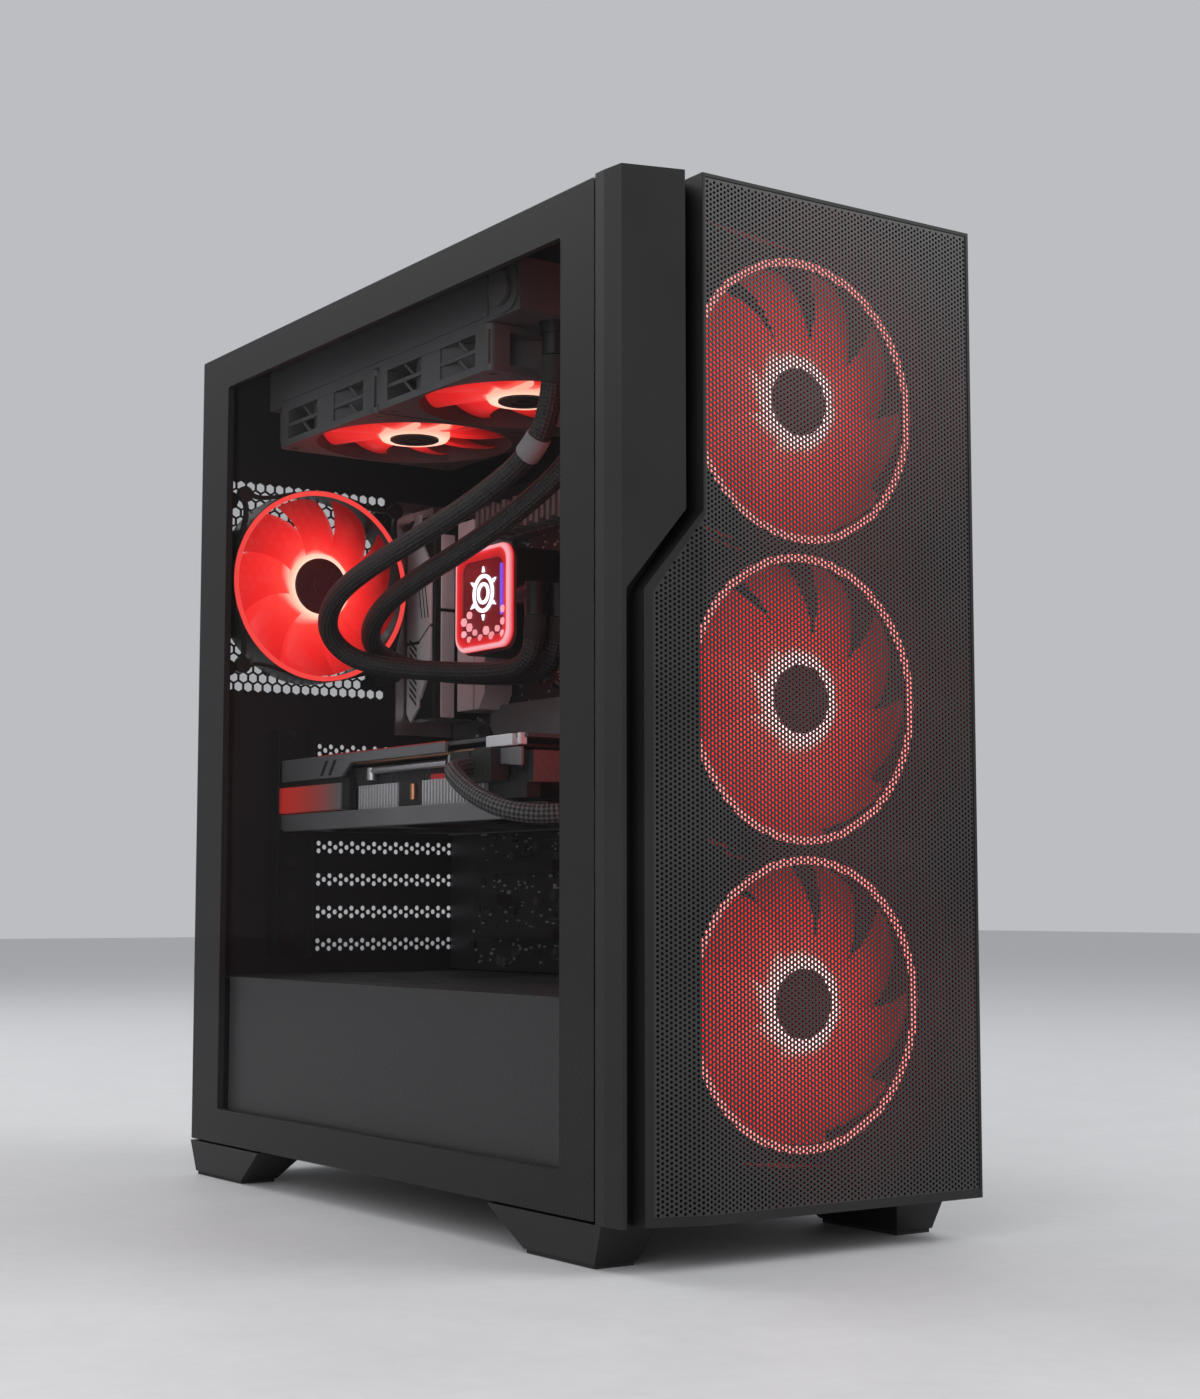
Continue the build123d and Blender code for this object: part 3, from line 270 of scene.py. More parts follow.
# Dim red glow that stands for painted reflections of the fans' red light on the front wall and on the
# graphics card.
GLOW_PAINTED_REFLECTION = lit_between("painted_red_reflection", (0.30, 0.004, 0.004), (0.6, 0.02, 0.02), 0.9, base=(0.02, 0.001, 0.001))
GLOW_HUB = lit_between("hub_glow", (1.0, 0.10, 0.06), (1.0, 0.60, 0.45), 1.8)
GLOW_PUMP = lit("pump_glow", PUMP_STOPS, 1.3, base=(0.03, 0.001, 0.002))
GLOW_VIOLET = lit_between("violet_glow", (0.20, 0.10, 1.0), (0.5, 0.4, 1.0), 1.1, base=(0.01, 0.005, 0.03))
GLOW_WHITE = lit_between("white_glow", (0.45, 0.35, 1.0), (1.0, 0.95, 1.0), 2.2)


# ---- building helpers ----
class Shape:
    """Collects geometry in millimetres, and turns it into one piece."""

    def __init__(self):
        self.bm = bmesh.new()
        self.layer = self.bm.verts.layers.float.new("glow")

    def box(self, low, high, glow=0.0):
        """A box between two corners."""
        (x0, y0, z0), (x1, y1, z1) = low, high
        corners = [(x, y, z) for x in (x0, x1) for y in (y0, y1) for z in (z0, z1)]
        verts = [self.bm.verts.new(c) for c in corners]
        for vert in verts:
            vert[self.layer] = glow
        for f in ((0, 1, 3, 2), (4, 6, 7, 5), (0, 4, 5, 1), (2, 3, 7, 6), (0, 2, 6, 4), (1, 5, 7, 3)):
            self.bm.faces.new([verts[i] for i in f])

    def loops(self, rings, closed=True, cap=(True, True), glow=None):
        """Skins a list of equally long point loops, and caps the first and the last."""
        rows = []
        for k, ring in enumerate(rings):
            row = [self.bm.verts.new(p) for p in ring]
            levels = glow[k] if glow else 0.0
            for i, vert in enumerate(row):
                vert[self.layer] = levels[i] if isinstance(levels, list) else levels
            rows.append(row)
        count = len(rows[0])
        for a, b in zip(rows, rows[1:]):
            for i in range(count if closed else count - 1):
                j = (i + 1) % count
                self.bm.faces.new((a[i], a[j], b[j], b[i]))
        if closed and cap[0]:
            self.bm.faces.new(list(reversed(rows[0])))
        if closed and cap[1]:
            self.bm.faces.new(rows[-1])

    def prism(self, points, axis, a, b, glow=0.0):
        """A flat outline between a and b along an axis. The points are on the other two axes, in order."""
        def lift(p, h):
            place = list(p)
            place.insert("xyz".index(axis), h)
            return place
        self.loops([[lift(p, a) for p in points], [lift(p, b) for p in points]], glow=[glow, glow])

    def turned(self, profile, centre, axis, steps=64, closed=False, glow=None):
        """A profile of (radius, height) points, turned about an axis through centre."""
        turn = {
            "x": Matrix.Rotation(math.radians(90), 3, "Y"),
            "y": Matrix.Rotation(math.radians(-90), 3, "X"),
            "z": Matrix.Identity(3),
        }
        rings = []
        for r, h in profile:
            circle = []
            for i in range(steps):
                angle = 2 * math.pi * i / steps
                spoke = Vector((r * math.cos(angle), r * math.sin(angle), h))
                circle.append(Vector(centre) + turn[axis] @ spoke)
            rings.append(circle)
        if closed:
            rings.append(rings[0])
            glow = glow + glow[:1] if glow else None
        self.loops(rings, cap=(not closed, not closed), glow=glow)

    def done(self, name, material, body="chassis", bevel=0.0, replaces=(), slot=None, angle=35.0):
        """Makes the piece and puts it on its body."""
        bmesh.ops.remove_doubles(self.bm, verts=self.bm.verts, dist=1e-5)
        bmesh.ops.recalc_face_normals(self.bm, faces=self.bm.faces)
        bmesh.ops.scale(self.bm, vec=(MM, MM, MM), verts=self.bm.verts)
        mesh = bpy.data.meshes.new(name)
        self.bm.to_mesh(mesh)
        self.bm.free()
        return piece(name, mesh, material, body, bevel, replaces, slot, angle)


def piece(name, mesh, material, body="chassis", bevel=0.0, replaces=(), slot=None, angle=35.0):
    """An object from a mesh, smooth except at its edges, riding on a body."""
    mesh.materials.append(material)
    mesh.shade_smooth()
    mesh.set_sharp_from_angle(angle=math.radians(angle))
    made = bpy.data.objects.new(name, mesh)
    bpy.context.scene.collection.objects.link(made)
    if bevel:
        edge = made.modifiers.new("edges", "BEVEL")
        edge.width = bevel * MM
        edge.segments = 2
        edge.limit_method = "ANGLE"
        edge.angle_limit = math.radians(angle)
        edge.harden_normals = True
    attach(made, body)
    for node_name in replaces:
        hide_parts(node_name)
    return made


def boxes(name, material, corners, **settings):
    """One piece on the chassis, made of boxes between pairs of corners."""
    shape = Shape()
    for low, high in corners:
        shape.box(low, high)
    return shape.done(name, material, **settings)


def dress(node_name, material):
    """Gives a CAD node its material."""
    mesh = NODES[node_name].data
    mesh.materials.clear()
    mesh.materials.append(material)


def arc(cx, cy, r, start, stop, steps):
    """Points along an arc, in degrees."""
    turns = [math.radians(start + (stop - start) * i / steps) for i in range(steps + 1)]
    return [(cx + r * math.cos(t), cy + r * math.sin(t)) for t in turns]


def round_rect(x0, x1, y0, y1, r, steps=6):
    """A rectangle with round corners."""
    return (
        arc(x1 - r, y1 - r, r, 0, 90, steps)
        + arc(x0 + r, y1 - r, r, 90, 180, steps)
        + arc(x0 + r, y0 + r, r, 180, 270, steps)
        + arc(x1 - r, y0 + r, r, 270, 360, steps)
    )


# ---- perforated sheets ----
def perforated(name, body, material, lift, size, pitch, hole, fits, limit, parts=1, replaces=(), sides=12,
               slot=None):
    """A sheet of hexagonal cells with round holes, cut into parts.

    lift places (u, v, depth), size is the (u, v) range, fits says whether a cell's centre may have a hole,
    limit pulls the outermost cells back to the sheet's edge, and hole is (radius, depth).
    """
    (u0, u1), (v0, v1) = size
    step_u = pitch * math.sqrt(3) / 2
    columns, rows = int((u1 - u0) / step_u) + 2, int((v1 - v0) / pitch) + 2
    angles = 2 * np.pi * np.arange(sides) / sides
    reach = np.where(np.arange(sides) % (sides // 6) == 0, pitch / math.sqrt(3), pitch / 2)
    edge = np.stack([np.cos(angles), np.sin(angles)], 1)
    for part in range(parts):
        verts, faces = [], []
        for column in range(columns * part // parts, columns * (part + 1) // parts):
            for row in range(rows):
                centre = np.array([u0 + column * step_u, v0 + row * pitch + (column % 2) * pitch / 2])
                outer = limit(centre + edge * reach[:, None])
                if outer is None:
                    continue
                start = len(verts)
                verts += [(*p, 0.0) for p in outer]
                if not fits(*centre):
                    faces.append(tuple(range(start, start + sides)))
                    continue
                inner = centre + edge * hole[0]
                verts += [(*p, 0.0) for p in inner] + [(*p, hole[1]) for p in inner]
                for first in (start, start + sides):
                    for i in range(sides):
                        j = (i + 1) % sides
                        faces.append((first + i, first + j, first + sides + j, first + sides + i))
        places = np.array(verts)
        mesh = bpy.data.meshes.new(f"{name}_{part + 1}")
        mesh.from_pydata((lift(places) * MM).tolist(), [], faces)
        mesh.validate()
        stands_for = replaces if part == 0 else ()
        piece(f"{name}_{part + 1}", mesh, material, body, replaces=stands_for, slot=slot, angle=20.0)


FOLD_X = LEFT + 39.2
FACET_SLOPE = 11.3 / 37.9
CHEEK_LOW, CHEEK_HIGH = LEFT + 11.3, LEFT + 38.6
NOTCH_LOW, NOTCH_HIGH = 301.0, 338.0
RIM, THIN_RIM = 4.0, 1.6
MESH_PITCH, MESH_HOLE = 2.34, 0.73


def front_y(x):
    """Y of the front surface: flat on the right, slanting back on the left."""
    return FRONT + np.maximum(0.0, FOLD_X - x) * FACET_SLOPE


def mesh_left(z, grow=0.0):
    """Left edge of the window behind the mesh at a height."""
    low, high = CHEEK_LOW + RIM - grow, CHEEK_HIGH + THIN_RIM - grow
    share = np.clip((z - NOTCH_LOW + 1.2) / (NOTCH_HIGH - NOTCH_LOW), 0.0, 1.0)
    return low + (high - low) * share


def front_mesh():
    """The perforated front sheet, bent along its fold."""
    low, high = span("mesh_panel_rim")
    z0, z1, x1 = low.z + RIM, high.z - THIN_RIM, high.x - THIN_RIM

    def lift(p):
        return np.stack([p[:, 0], front_y(p[:, 0]) + 0.5 + p[:, 2], p[:, 1]], 1)

    def fits(x, z):
        return mesh_left(z) + 1.0 < x < x1 - 1.0 and z0 + 1.0 < z < z1 - 1.0

    def limit(points):
        held = np.stack([
            np.clip(points[:, 0], mesh_left(points[:, 1], 0.8), x1 + 0.8),
            np.clip(points[:, 1], z0 - 0.8, z1 + 0.8),
        ], 1)
        moved = np.abs(held - points).max(1)
        return None if moved.min() > 0.0 else held

    size = ((low.x, x1 + 1), (z0, z1 + 1))
    perforated("front_mesh_sheet", "mesh_panel", MESH_STEEL, lift, size, MESH_PITCH, (MESH_HOLE, 0.7), fits,
               limit, parts=6, replaces=["front_mesh"], slot="mesh_steel")


# ---- fans ----
TURN_TO = {
    (0, -1, 0): Matrix.Rotation(math.radians(90), 4, "X"),
    (0, 0, -1): Matrix.Rotation(math.radians(180), 4, "X"),
}


def joint_place(joint_name):
    """A matrix that puts a fan's +Z along its spin axis, in millimetres."""
    joint = JOINT[joint_name]
    axis = tuple(round(v) for v in joint["axis"])
    return Matrix.Translation(Vector(joint["pos_m"]) / MM) @ TURN_TO[axis]


def blade_rows(hub, tip, chord, turn, angles, sweep, thick, steps=(10, 7)):
    """Loops of points round a blade's section, from hub to tip."""
    rows = []
    for k in range(steps[0] + 1):
        share = k / steps[0]
        r = hub + (tip - hub) * share
        pitch = math.radians(angles[0] + (angles[1] - angles[0]) * share)
        middle = turn + math.radians(sweep) * share**1.4
        width = chord * (0.85 + 0.5 * share - 0.25 * share**3)
        upper, lower = [], []
        for i in range(steps[1] + 1):
            t = i / steps[1] - 0.5
            camber = 0.10 * width * (0.25 - t * t) * 4
            half = thick / 2 * math.sqrt(max(0.0, 1 - (2 * t) ** 4)) + 0.05
            for points, side in ((upper, half), (lower, -half)):
                along = t * width * math.cos(pitch) + camber * math.sin(pitch)
                height = t * width * math.sin(pitch) + camber * math.cos(pitch) + side
                angle = middle + along / r
                points.append((r * math.cos(angle), r * math.sin(angle), height))
        rows.append(upper + lower[::-1])
    return rows


THIN_FAN_DEPTH = 12.0


def rotor(joint_name, body, node_name, hub, tip, depth, blades, chord, material, sweep=24.0,
          glow=(0.95, 0.25), painted_bright_side=None, angles=(25, 19)):
    """Blades of one fan. One side, given in degrees round the fan as drawn, has painted light: the blades'
    glow is raised on that side and lowered opposite, and it turns with the blades. Each blade's glow also
    falls off across its chord, a painted shade that sets the blades apart.
    """
    lift = 1.7 if depth > THIN_FAN_DEPTH else 0.0
    place = joint_place(joint_name)
    shape = Shape()
    for i in range(blades):
        rows = blade_rows(hub - 1, tip, chord, 2 * math.pi * i / blades, angles, sweep, 1.5)
        levels = []
        for k, row in enumerate(rows):
            level = glow[0] + (glow[1] - glow[0]) * (k / (len(rows) - 1)) ** 0.7
            line = []
            for j, (x, y, _) in enumerate(row):
                across = j if j < len(row) // 2 else len(row) - 1 - j
                # Painted light: glow raised on the chosen side and lowered opposite; the last term below
                # darkens each blade across its chord as painted shade.
                side = 0.0 if painted_bright_side is None else math.cos(math.atan2(y, x) - math.radians(painted_bright_side)) - 0.35
                line.append(level + 0.24 * side * k / len(rows) - 0.012 * across)
            levels.append(line)
        shape.loops([[place @ (Vector(p) + Vector((0, 0, lift))) for p in row] for row in rows], glow=levels)
    shape.done(f"{node_name}_blades", material, body, replaces=[node_name], angle=50.0)
    return place, lift


def hub_parts(prefix, body, place, lift, hub, cap, depth, ring_material, cap_material):
    """The hub's wall, its shining collar and its dark cap."""
    top = depth / 2 + lift
    wall = Shape()
    profile = [(cap, top - 1.5), (hub - 1.5, top - 0.6), (hub, top - 2.6), (hub, -depth / 2 + lift)]
    wall.turned(profile, (0, 0, 0), "z", 64, glow=[1.0, 0.8, 0.5, 0.3])
    wall.bm.transform(place)
    wall.done(f"{prefix}_collar", ring_material, body, angle=60.0)
    disc = Shape()
    profile = [
        (cap, top - 2.0), (cap, top - 0.4), (cap - 0.8, top), (cap * 0.55, top),
        (cap * 0.53, top - 0.35), (cap * 0.30, top - 0.35), (cap * 0.28, top),
    ]
    disc.turned(profile, (0, 0, 0), "z", 64)
    disc.bm.transform(place)
    disc.done(f"{prefix}_cap", cap_material, body, angle=30.0)


def ring_piece(name, body, place, r0, r1, z0, z1, material, glow=0.6, steps=96):
    """A flat ring round a fan's axis."""
    shape = Shape()
    section = [(r0, z0), (r1, z0), (r1, z1), (r0, z1)]
    shape.turned(section, (0, 0, 0), "z", steps, closed=True, glow=[glow] * 4)
    shape.bm.transform(place)
    return shape.done(name, material, body, angle=30.0)


# Painted red reflections of the fan rings on the inside of the front wall: left x, right x, height and half
# height of each streak.
WALL_PAINTED_REFLECTIONS = (
    (-45, 12, 478, 1.3), (-48, -26, 333, 0.9), (-44, -22, 328, 0.8),
    (-48, -28, 188, 0.9), (-40, -20, 183, 0.7), (-32, 26, 40, 1.0),
)


def case_fans():
    """The three intakes, the exhaust, the two radiator fans, and painted red reflections of the fans' light
    on the front wall.
    """
    big = {"hub": 23.0, "tip": 65.5, "depth": 19.0, "blades": 9, "chord": 42.0}
    small = {"hub": 21.0, "tip": 55.8, "depth": 19.0, "blades": 9, "chord": 34.0}
    for i in (1, 2, 3):
        body = f"intake_rotor_{i}"
        place, lift = rotor(f"intake_spin_{i}", body, f"intake_fan_rotor_{i}", material=GLOW_FRONT,
                            painted_bright_side=205.0, glow=(1.05, 0.48), **big)
        hub_parts(f"intake_{i}", body, place, lift, big["hub"], 16.5, big["depth"], GLOW_FRONT_HUB, HUB_RED)
        ring_piece(f"intake_{i}_light_ring", "chassis", place, 65.8, 69.4, 12.6, 13.4, GLOW_FRONT_RING, 0.8)
    place, lift = rotor("exhaust_spin", "exhaust_rotor", "exhaust_fan_rotor", material=GLOW_CLEAR,
                        painted_bright_side=215.0, glow=(1.04, 0.56), **small)
    hub_parts("exhaust", "exhaust_rotor", place, lift, small["hub"], 17.5, small["depth"], GLOW_HUB, HUB_RED)
    exhaust_frame(place)
    for i in (1, 2):
        body = f"radiator_rotor_{i}"
        place, lift = rotor(f"radiator_spin_{i}", body, f"radiator_fan_rotor_{i}", material=GLOW_FAN,
                            painted_bright_side=180.0, glow=(1.02, 0.5), **small)
        hub_parts(f"radiator_{i}", body, place, lift, small["hub"], 14.5, small["depth"], GLOW_HUB, FAN_BLACK)
    dress("intake_fan_frames", FAN_BLACK)
    dress("radiator_fan_frames", FAN_GREY)
    fan_louvres()
    # Thin glowing streaks on the front wall: painted red reflections of the fan light rings.
    painted_reflections = Shape()
    y = span("front_wall")[0].y
    for x0, x1, z, half in WALL_PAINTED_REFLECTIONS:
        middle = (x0 + x1) / 2
        painted_reflections.prism([(x0, z + 3), (middle, z + half), (x1, z - 2), (middle, z - half)], "y", y - 0.4, y)
    painted_reflections.done("front_wall_painted_reflections", GLOW_PAINTED_REFLECTION)


def exhaust_frame(place):
    """Round exhaust frame with a lit lip and open looped corners."""
    ring_piece("exhaust_duct", "chassis", place, 58.0, 60.0, -12.5, 12.0, FAN_BLACK)
    ring_piece("exhaust_light_ring", "chassis", place, 56.6, 59.6, 12.0, 12.5, GLOW_RING, 0.4)
    shape = Shape()
    for k in range(4):
        turn = Matrix.Rotation(math.radians(45 + 90 * k), 4, "Z")
        for side in (-1, 1):
            line = []
            for s in range(13):
                t = s / 12
                angle = math.radians(side * 27 * (1 - t) ** 1.6)
                r = 59.5 + (72.0 - 59.5) * t**1.8
                line.append(Vector((r * math.cos(angle), r * math.sin(angle) + side * 3.4 * t, 0)))
            rings = []
            for s, point in enumerate(line):
                ahead = (line[min(s + 1, 12)] - line[max(s - 1, 0)]).normalized()
                across = Vector((-ahead.y, ahead.x, 0)) * 1.2
                rings.append([turn @ (point + across * a + Vector((0, 0, b))) for a, b in
                              ((-1, 8.5), (1, 8.5), (1, 12.3), (-1, 12.3))])
            shape.loops(rings)
        for z0, z1 in ((-12.5, -8.5), (8.4, 12.4)):
            outline = [turn @ Vector((74.2 + 5.0 * math.cos(a), 5.0 * math.sin(a), 0)) for a in
                       [2 * math.pi * i / 20 for i in range(20)]]
            shape.loops([[p + Vector((0, 0, z)) for p in outline] for z in (z0, z1)])
    for angle in (45, 135, 225, 315):
        turn = Matrix.Rotation(math.radians(angle), 4, "Z")
        corners = [turn @ Vector((x, y, -12.4)) for x, y in ((18, -2), (59, -2), (59, 2), (18, 2))]
        shape.loops([corners, [c + Vector((0, 0, 2.4)) for c in corners]])
    shape.turned([(20, -12.4), (20, -9.9)], (0, 0, 0), "z", 48)
    shape.bm.transform(place)
    shape.done("exhaust_frame_corners", FAN_BLACK, bevel=0.4, replaces=["exhaust_fan_frame"])


def fan_louvres():
    """Slotted side walls on the radiator fans' frames."""
    low, high = span("radiator_fan_frames")
    shape = Shape()
    for start in (low.y, high.y - 120):
        bars = [(start + 1, start + 12), (start + 50, start + 70), (start + 108, start + 119)]
        for y0, y1 in bars:
            shape.box((low.x + 0.3, y0, low.z + 3.5), (low.x + 2.6, y1, high.z - 3.5))
        for y0, y1 in ((start + 12, start + 50), (start + 70, start + 108)):
            middle = (low.z + high.z) / 2
            shape.box((low.x + 0.6, y0, middle - 1.2), (low.x + 2.4, y1, middle + 1.2))
            for z0 in (low.z + 4.2, middle + 1.4):
                points = [(y0 + 9, z0), (y0 + 12, z0), (y0 + 21, z0 + 7), (y0 + 18, z0 + 7)]
                shape.prism(points, "x", low.x + 1.0, low.x + 2.6)
    shape.done("radiator_fan_louvres", FAN_GREY, bevel=0.5)


# ---- camera, light and floor ----
def stage():
    """Floor, studio light and the camera."""
    mesh = bpy.data.meshes.new("floor")
    half = 9.0
    corners = [(-half, -half, 0), (half, -half, 0), (half, half, 0), (-half, half, 0)]
    mesh.from_pydata(corners, [], [(0, 1, 2, 3)])
    floor = bpy.data.objects.new("floor", mesh)
    bpy.context.scene.collection.objects.link(floor)
    paper = finish("floor_paper", (0.62, 0.62, 0.63), (0.66, 0.66, 0.67), (0.5, 0.6), grain=90.0, bump=0.05)
    mesh.materials.append(paper)
    world = bpy.data.worlds.new("studio")
    bpy.context.scene.world = world
    world.use_nodes = True
    backdrop = world.node_tree.nodes["Background"]
    backdrop.inputs["Color"].default_value = (0.82, 0.83, 0.86, 1)
    backdrop.inputs["Strength"].default_value = 0.62
    bpy.context.scene.view_settings.view_transform = "Standard"
    target = Vector((0, 0, 0.25))
    for name, place, power, width in (
        ("key", (1.6, -1.5, 1.9), 32.0, 1.6),
        ("fill", (-1.9, -1.2, 1.0), 21.0, 1.8),
        ("rim", (-0.6, 1.9, 2.1), 26.0, 1.6),
    ):
        lamp_and_painted_reflection = bpy.data.lights.new(name, "AREA")
        lamp_and_painted_reflection.energy = power
        lamp_and_painted_reflection.size = width
        holder = bpy.data.objects.new(name, lamp_and_painted_reflection)
        holder.location = place
        holder.rotation_euler = (target - Vector(place)).to_track_quat("-Z", "Y").to_euler()
        bpy.context.scene.collection.objects.link(holder)
    lens = bpy.data.cameras.new("camera")
    lens.sensor_width = 36.0
    lens.lens = 56.84
    lens.clip_start = 0.05
    camera = bpy.data.objects.new("camera", lens)
    camera.location = (-0.6589, -1.0209, 0.1607)
    camera.rotation_euler = (math.radians(95.29), 0.0, math.radians(-34.37))
    bpy.context.scene.collection.objects.link(camera)
    bpy.context.scene.camera = camera


stage()


# ---- glass side ----
WINDOW_FRONT, WINDOW_REAR = 28.6, 394.4
WINDOW_BOTTOM, WINDOW_TOP = 20.3, 452.1


def glass_side():
    """Clear pane with a printed black border behind it."""
    low, high = span("glass_panel")
    pane = Shape()
    chamfer = 0.8
    outer = [(low.y, low.z), (high.y, low.z), (high.y, high.z), (low.y, high.z)]
    small = [(low.y + chamfer, low.z + chamfer), (high.y - chamfer, low.z + chamfer),
             (high.y - chamfer, high.z - chamfer), (low.y + chamfer, high.z - chamfer)]
    pane.loops([[(x, *p) for p in loop] for x, loop in
                ((low.x, small), (low.x + chamfer, outer), (high.x - 0.1, outer))])
    pane.done("glass_pane", GLASS, "glass_side", replaces=["glass_panel"])
    y0, y1 = low.y + WINDOW_FRONT, low.y + WINDOW_REAR
    z0, z1 = low.z + WINDOW_BOTTOM, low.z + WINDOW_TOP
    inner = round_rect(y0, y1, z0, z1, 1.5, 3)
    edge = round_rect(low.y + 0.6, high.y - 0.6, low.z + 0.6, high.z - 0.6, 1.0, 3)
    border = Shape()
    x0, x1 = low.x + 0.3, high.x - 0.02
    border.loops([[(x, *p) for p in loop] for x, loop in
                  ((x0, edge), (x0, inner), (x1, inner), (x1, edge), (x0, edge))], cap=(False, False))
    border.done("glass_border_print", PRINT, "glass_side", slot="glass")
    dress("glass_panel_frame", STEEL)
    dress("glass_thumbscrews", SCREW)


# ---- liquid cooler ----
def route_line(points, order=3, resolution=24):
    """Smooth line through the control points of a route, in millimetres."""
    data = bpy.data.curves.new("route", "CURVE")
    data.dimensions = "3D"
    spline = data.splines.new("NURBS")
    spline.points.add(len(points) - 1)
    for point, (x, y, z) in zip(spline.points, points):
        point.co = (x * MM, y * MM, z * MM, 1)
    spline.order_u = order
    spline.use_endpoint_u = True
    spline.resolution_u = resolution
    holder = bpy.data.objects.new("route", data)
    line = bpy.data.meshes.new_from_object(holder)
    places = [v.co / MM for v in line.vertices]
    bpy.data.objects.remove(holder)
    bpy.data.curves.remove(data)
    bpy.data.meshes.remove(line)
    return places


def frames_along(line):
    """A point, a direction and two crossways vectors at each place of a line."""
    side = None
    for i, point in enumerate(line):
        ahead = (line[min(i + 1, len(line) - 1)] - line[max(i - 1, 0)]).normalized()
        if side is None:
            side = ahead.orthogonal().normalized()
        side = (side - ahead * side.dot(ahead)).normalized()
        yield point, ahead, side, ahead.cross(side)


def tube_mesh(name, line, radius, steps=24):
    """A round tube along a line, with its length and turn as texture coordinates, in metres and turns."""
    verts, uv_u, travelled, last = [], [], 0.0, None
    for point, _, side, other in frames_along(line):
        travelled += 0.0 if last is None else (point - last).length * MM
        last = point
        uv_u.append(travelled)
        for k in range(steps):
            angle = 2 * math.pi * k / steps
            verts.append((point + (side * math.cos(angle) + other * math.sin(angle)) * radius) * MM)
    faces = []
    for i in range(len(line) - 1):
        for k in range(steps):
            j = (k + 1) % steps
            faces.append((i * steps + k, i * steps + j, (i + 1) * steps + j, (i + 1) * steps + k))
    mesh = bpy.data.meshes.new(name)
    caps = [tuple(reversed(range(steps))), tuple(range((len(line) - 1) * steps, len(line) * steps))]
    mesh.from_pydata(verts, [], faces + caps)
    uv = mesh.uv_layers.new(name="UVMap")
    for polygon in mesh.polygons:
        for corner in polygon.loop_indices:
            vert = mesh.loops[corner].vertex_index
            k = vert % steps
            if k == 0 and any(mesh.loops[c].vertex_index % steps == steps - 1 for c in polygon.loop_indices):
                k = steps
            uv.data[corner].uv = (uv_u[vert // steps], k / steps)
    return mesh


def line_length(line):
    """Length of a line."""
    return sum((b - a).length for a, b in zip(line, line[1:]))


RAD_LOW, RAD_HIGH = span("radiator")
TUBE_R, CABLE_R = 6.0, 5.0
COOLANT_ROUTES = (
    [
        (-48, -86, 442), (-47, -83, 415), (-49, -63, 392), (-53, -16, 376), (-56, 40, 364),
        (-59, 98, 352), (-58, 137, 341), (-50, 163, 325), (-32, 168, 310), (-13, 149, 303),
        (6, 116, 299), (22, 86, 297), (30, 65, 299), (31, 55, 311), (31, 54, 328),
    ],
    [
        (-20, -86, 442), (-20, -84, 416), (-26, -66, 390), (-34, -30, 371), (-39, 12, 357),
        (-42, 60, 346), (-39, 108, 336), (-28, 148, 326), (-10, 175, 316), (11, 174, 307),
        (28, 150, 302), (39, 120, 299), (46, 88, 297), (47, 67, 299), (47, 56, 310), (47, 54, 328),
    ],
)
CABLE_ROUTE = [
    (-56, -17, 233), (-68, -19, 232), (-76, -36, 226), (-78, -60, 215), (-72, -85, 206), (-53, -106, 205),
    (-20, -115, 213), (20, -105, 232), (52, -81, 252), (68, -52, 262), (81.9, -35, 264),
]


def held_cord(name, node_name, route, radius, material):
    """A sleeved tube or cable that the object holds at both ends."""
    line = route_line(route)
    made = piece(name, tube_mesh(name, line, radius), material, replaces=[node_name])
    length = round(line_length(line) * MM, 3)
    [v * MM for v in route[0]]
    return line


def collar(shape, line, start, length, radius):
    """A sleeve round part of a line, between two distances along it."""
    rings, travelled, last = [], 0.0, None
    for point, _, side, other in frames_along(line):
        travelled += 0.0 if last is None else (point - last).length
        last = point
        if start <= travelled <= start + length:
            rings.append([point + (side * math.cos(a) + other * math.sin(a)) * radius for a in
                          [2 * math.pi * k / 32 for k in range(32)]])
    shape.loops(rings)


def cooler():
    """Radiator, tubes with their clip and end sleeves, fittings, pump block and lit cap."""
    lines = [held_cord(f"coolant_tube_{i + 1}_sleeve", f"coolant_tube_{i + 1}", route, TUBE_R, SLEEVE)
             for i, route in enumerate(COOLANT_ROUTES)]
    held_cord("card_power_cable_sleeve", "card_power_cable", CABLE_ROUTE, CABLE_R, CABLE_SLEEVE)
    clip = Shape()
    collar(clip, lines[0], 42.0, 15.0, TUBE_R + 0.9)
    clip.done("tube_clip", CLIP, bevel=0.4)
    ends = Shape()
    for line in lines:
        collar(ends, line, 0.0, 14.0, TUBE_R + 0.7)
        collar(ends, line, line_length(line) - 14.0, 14.0, TUBE_R + 0.7)
    ends.done("tube_end_sleeves", RUBBER, bevel=0.3)
    dress("tube_fittings", FAN_BLACK)
    dress("radiator", RADIATOR)
    side = Shape()
    x = RAD_LOW.x
    core_wall = round_rect(RAD_LOW.y + 30, RAD_HIGH.y - 16, RAD_LOW.z + 2.5, RAD_HIGH.z - 2.5, 1.5, 3)
    side.prism(core_wall, "x", x - 1.0, x + 0.5)
    end_tank = round_rect(RAD_LOW.y + 1.0, RAD_LOW.y + 27, RAD_LOW.z + 1.0, RAD_HIGH.z - 1.0, 9.0, 8)
    side.prism(end_tank, "x", x - 1.6, x + 0.5)
    side.turned([(9.0, -2.6), (9.0, 0), (7.4, 0.4), (7.2, -0.8), (3.4, -0.8), (3.2, 0.4), (0.6, 0.4)],
                (x - 2.2, RAD_LOW.y + 14, (RAD_LOW.z + RAD_HIGH.z) / 2), "x", 40)
    side.done("radiator_side_trim", RADIATOR, bevel=0.4, slot="radiator_black")
    pump()


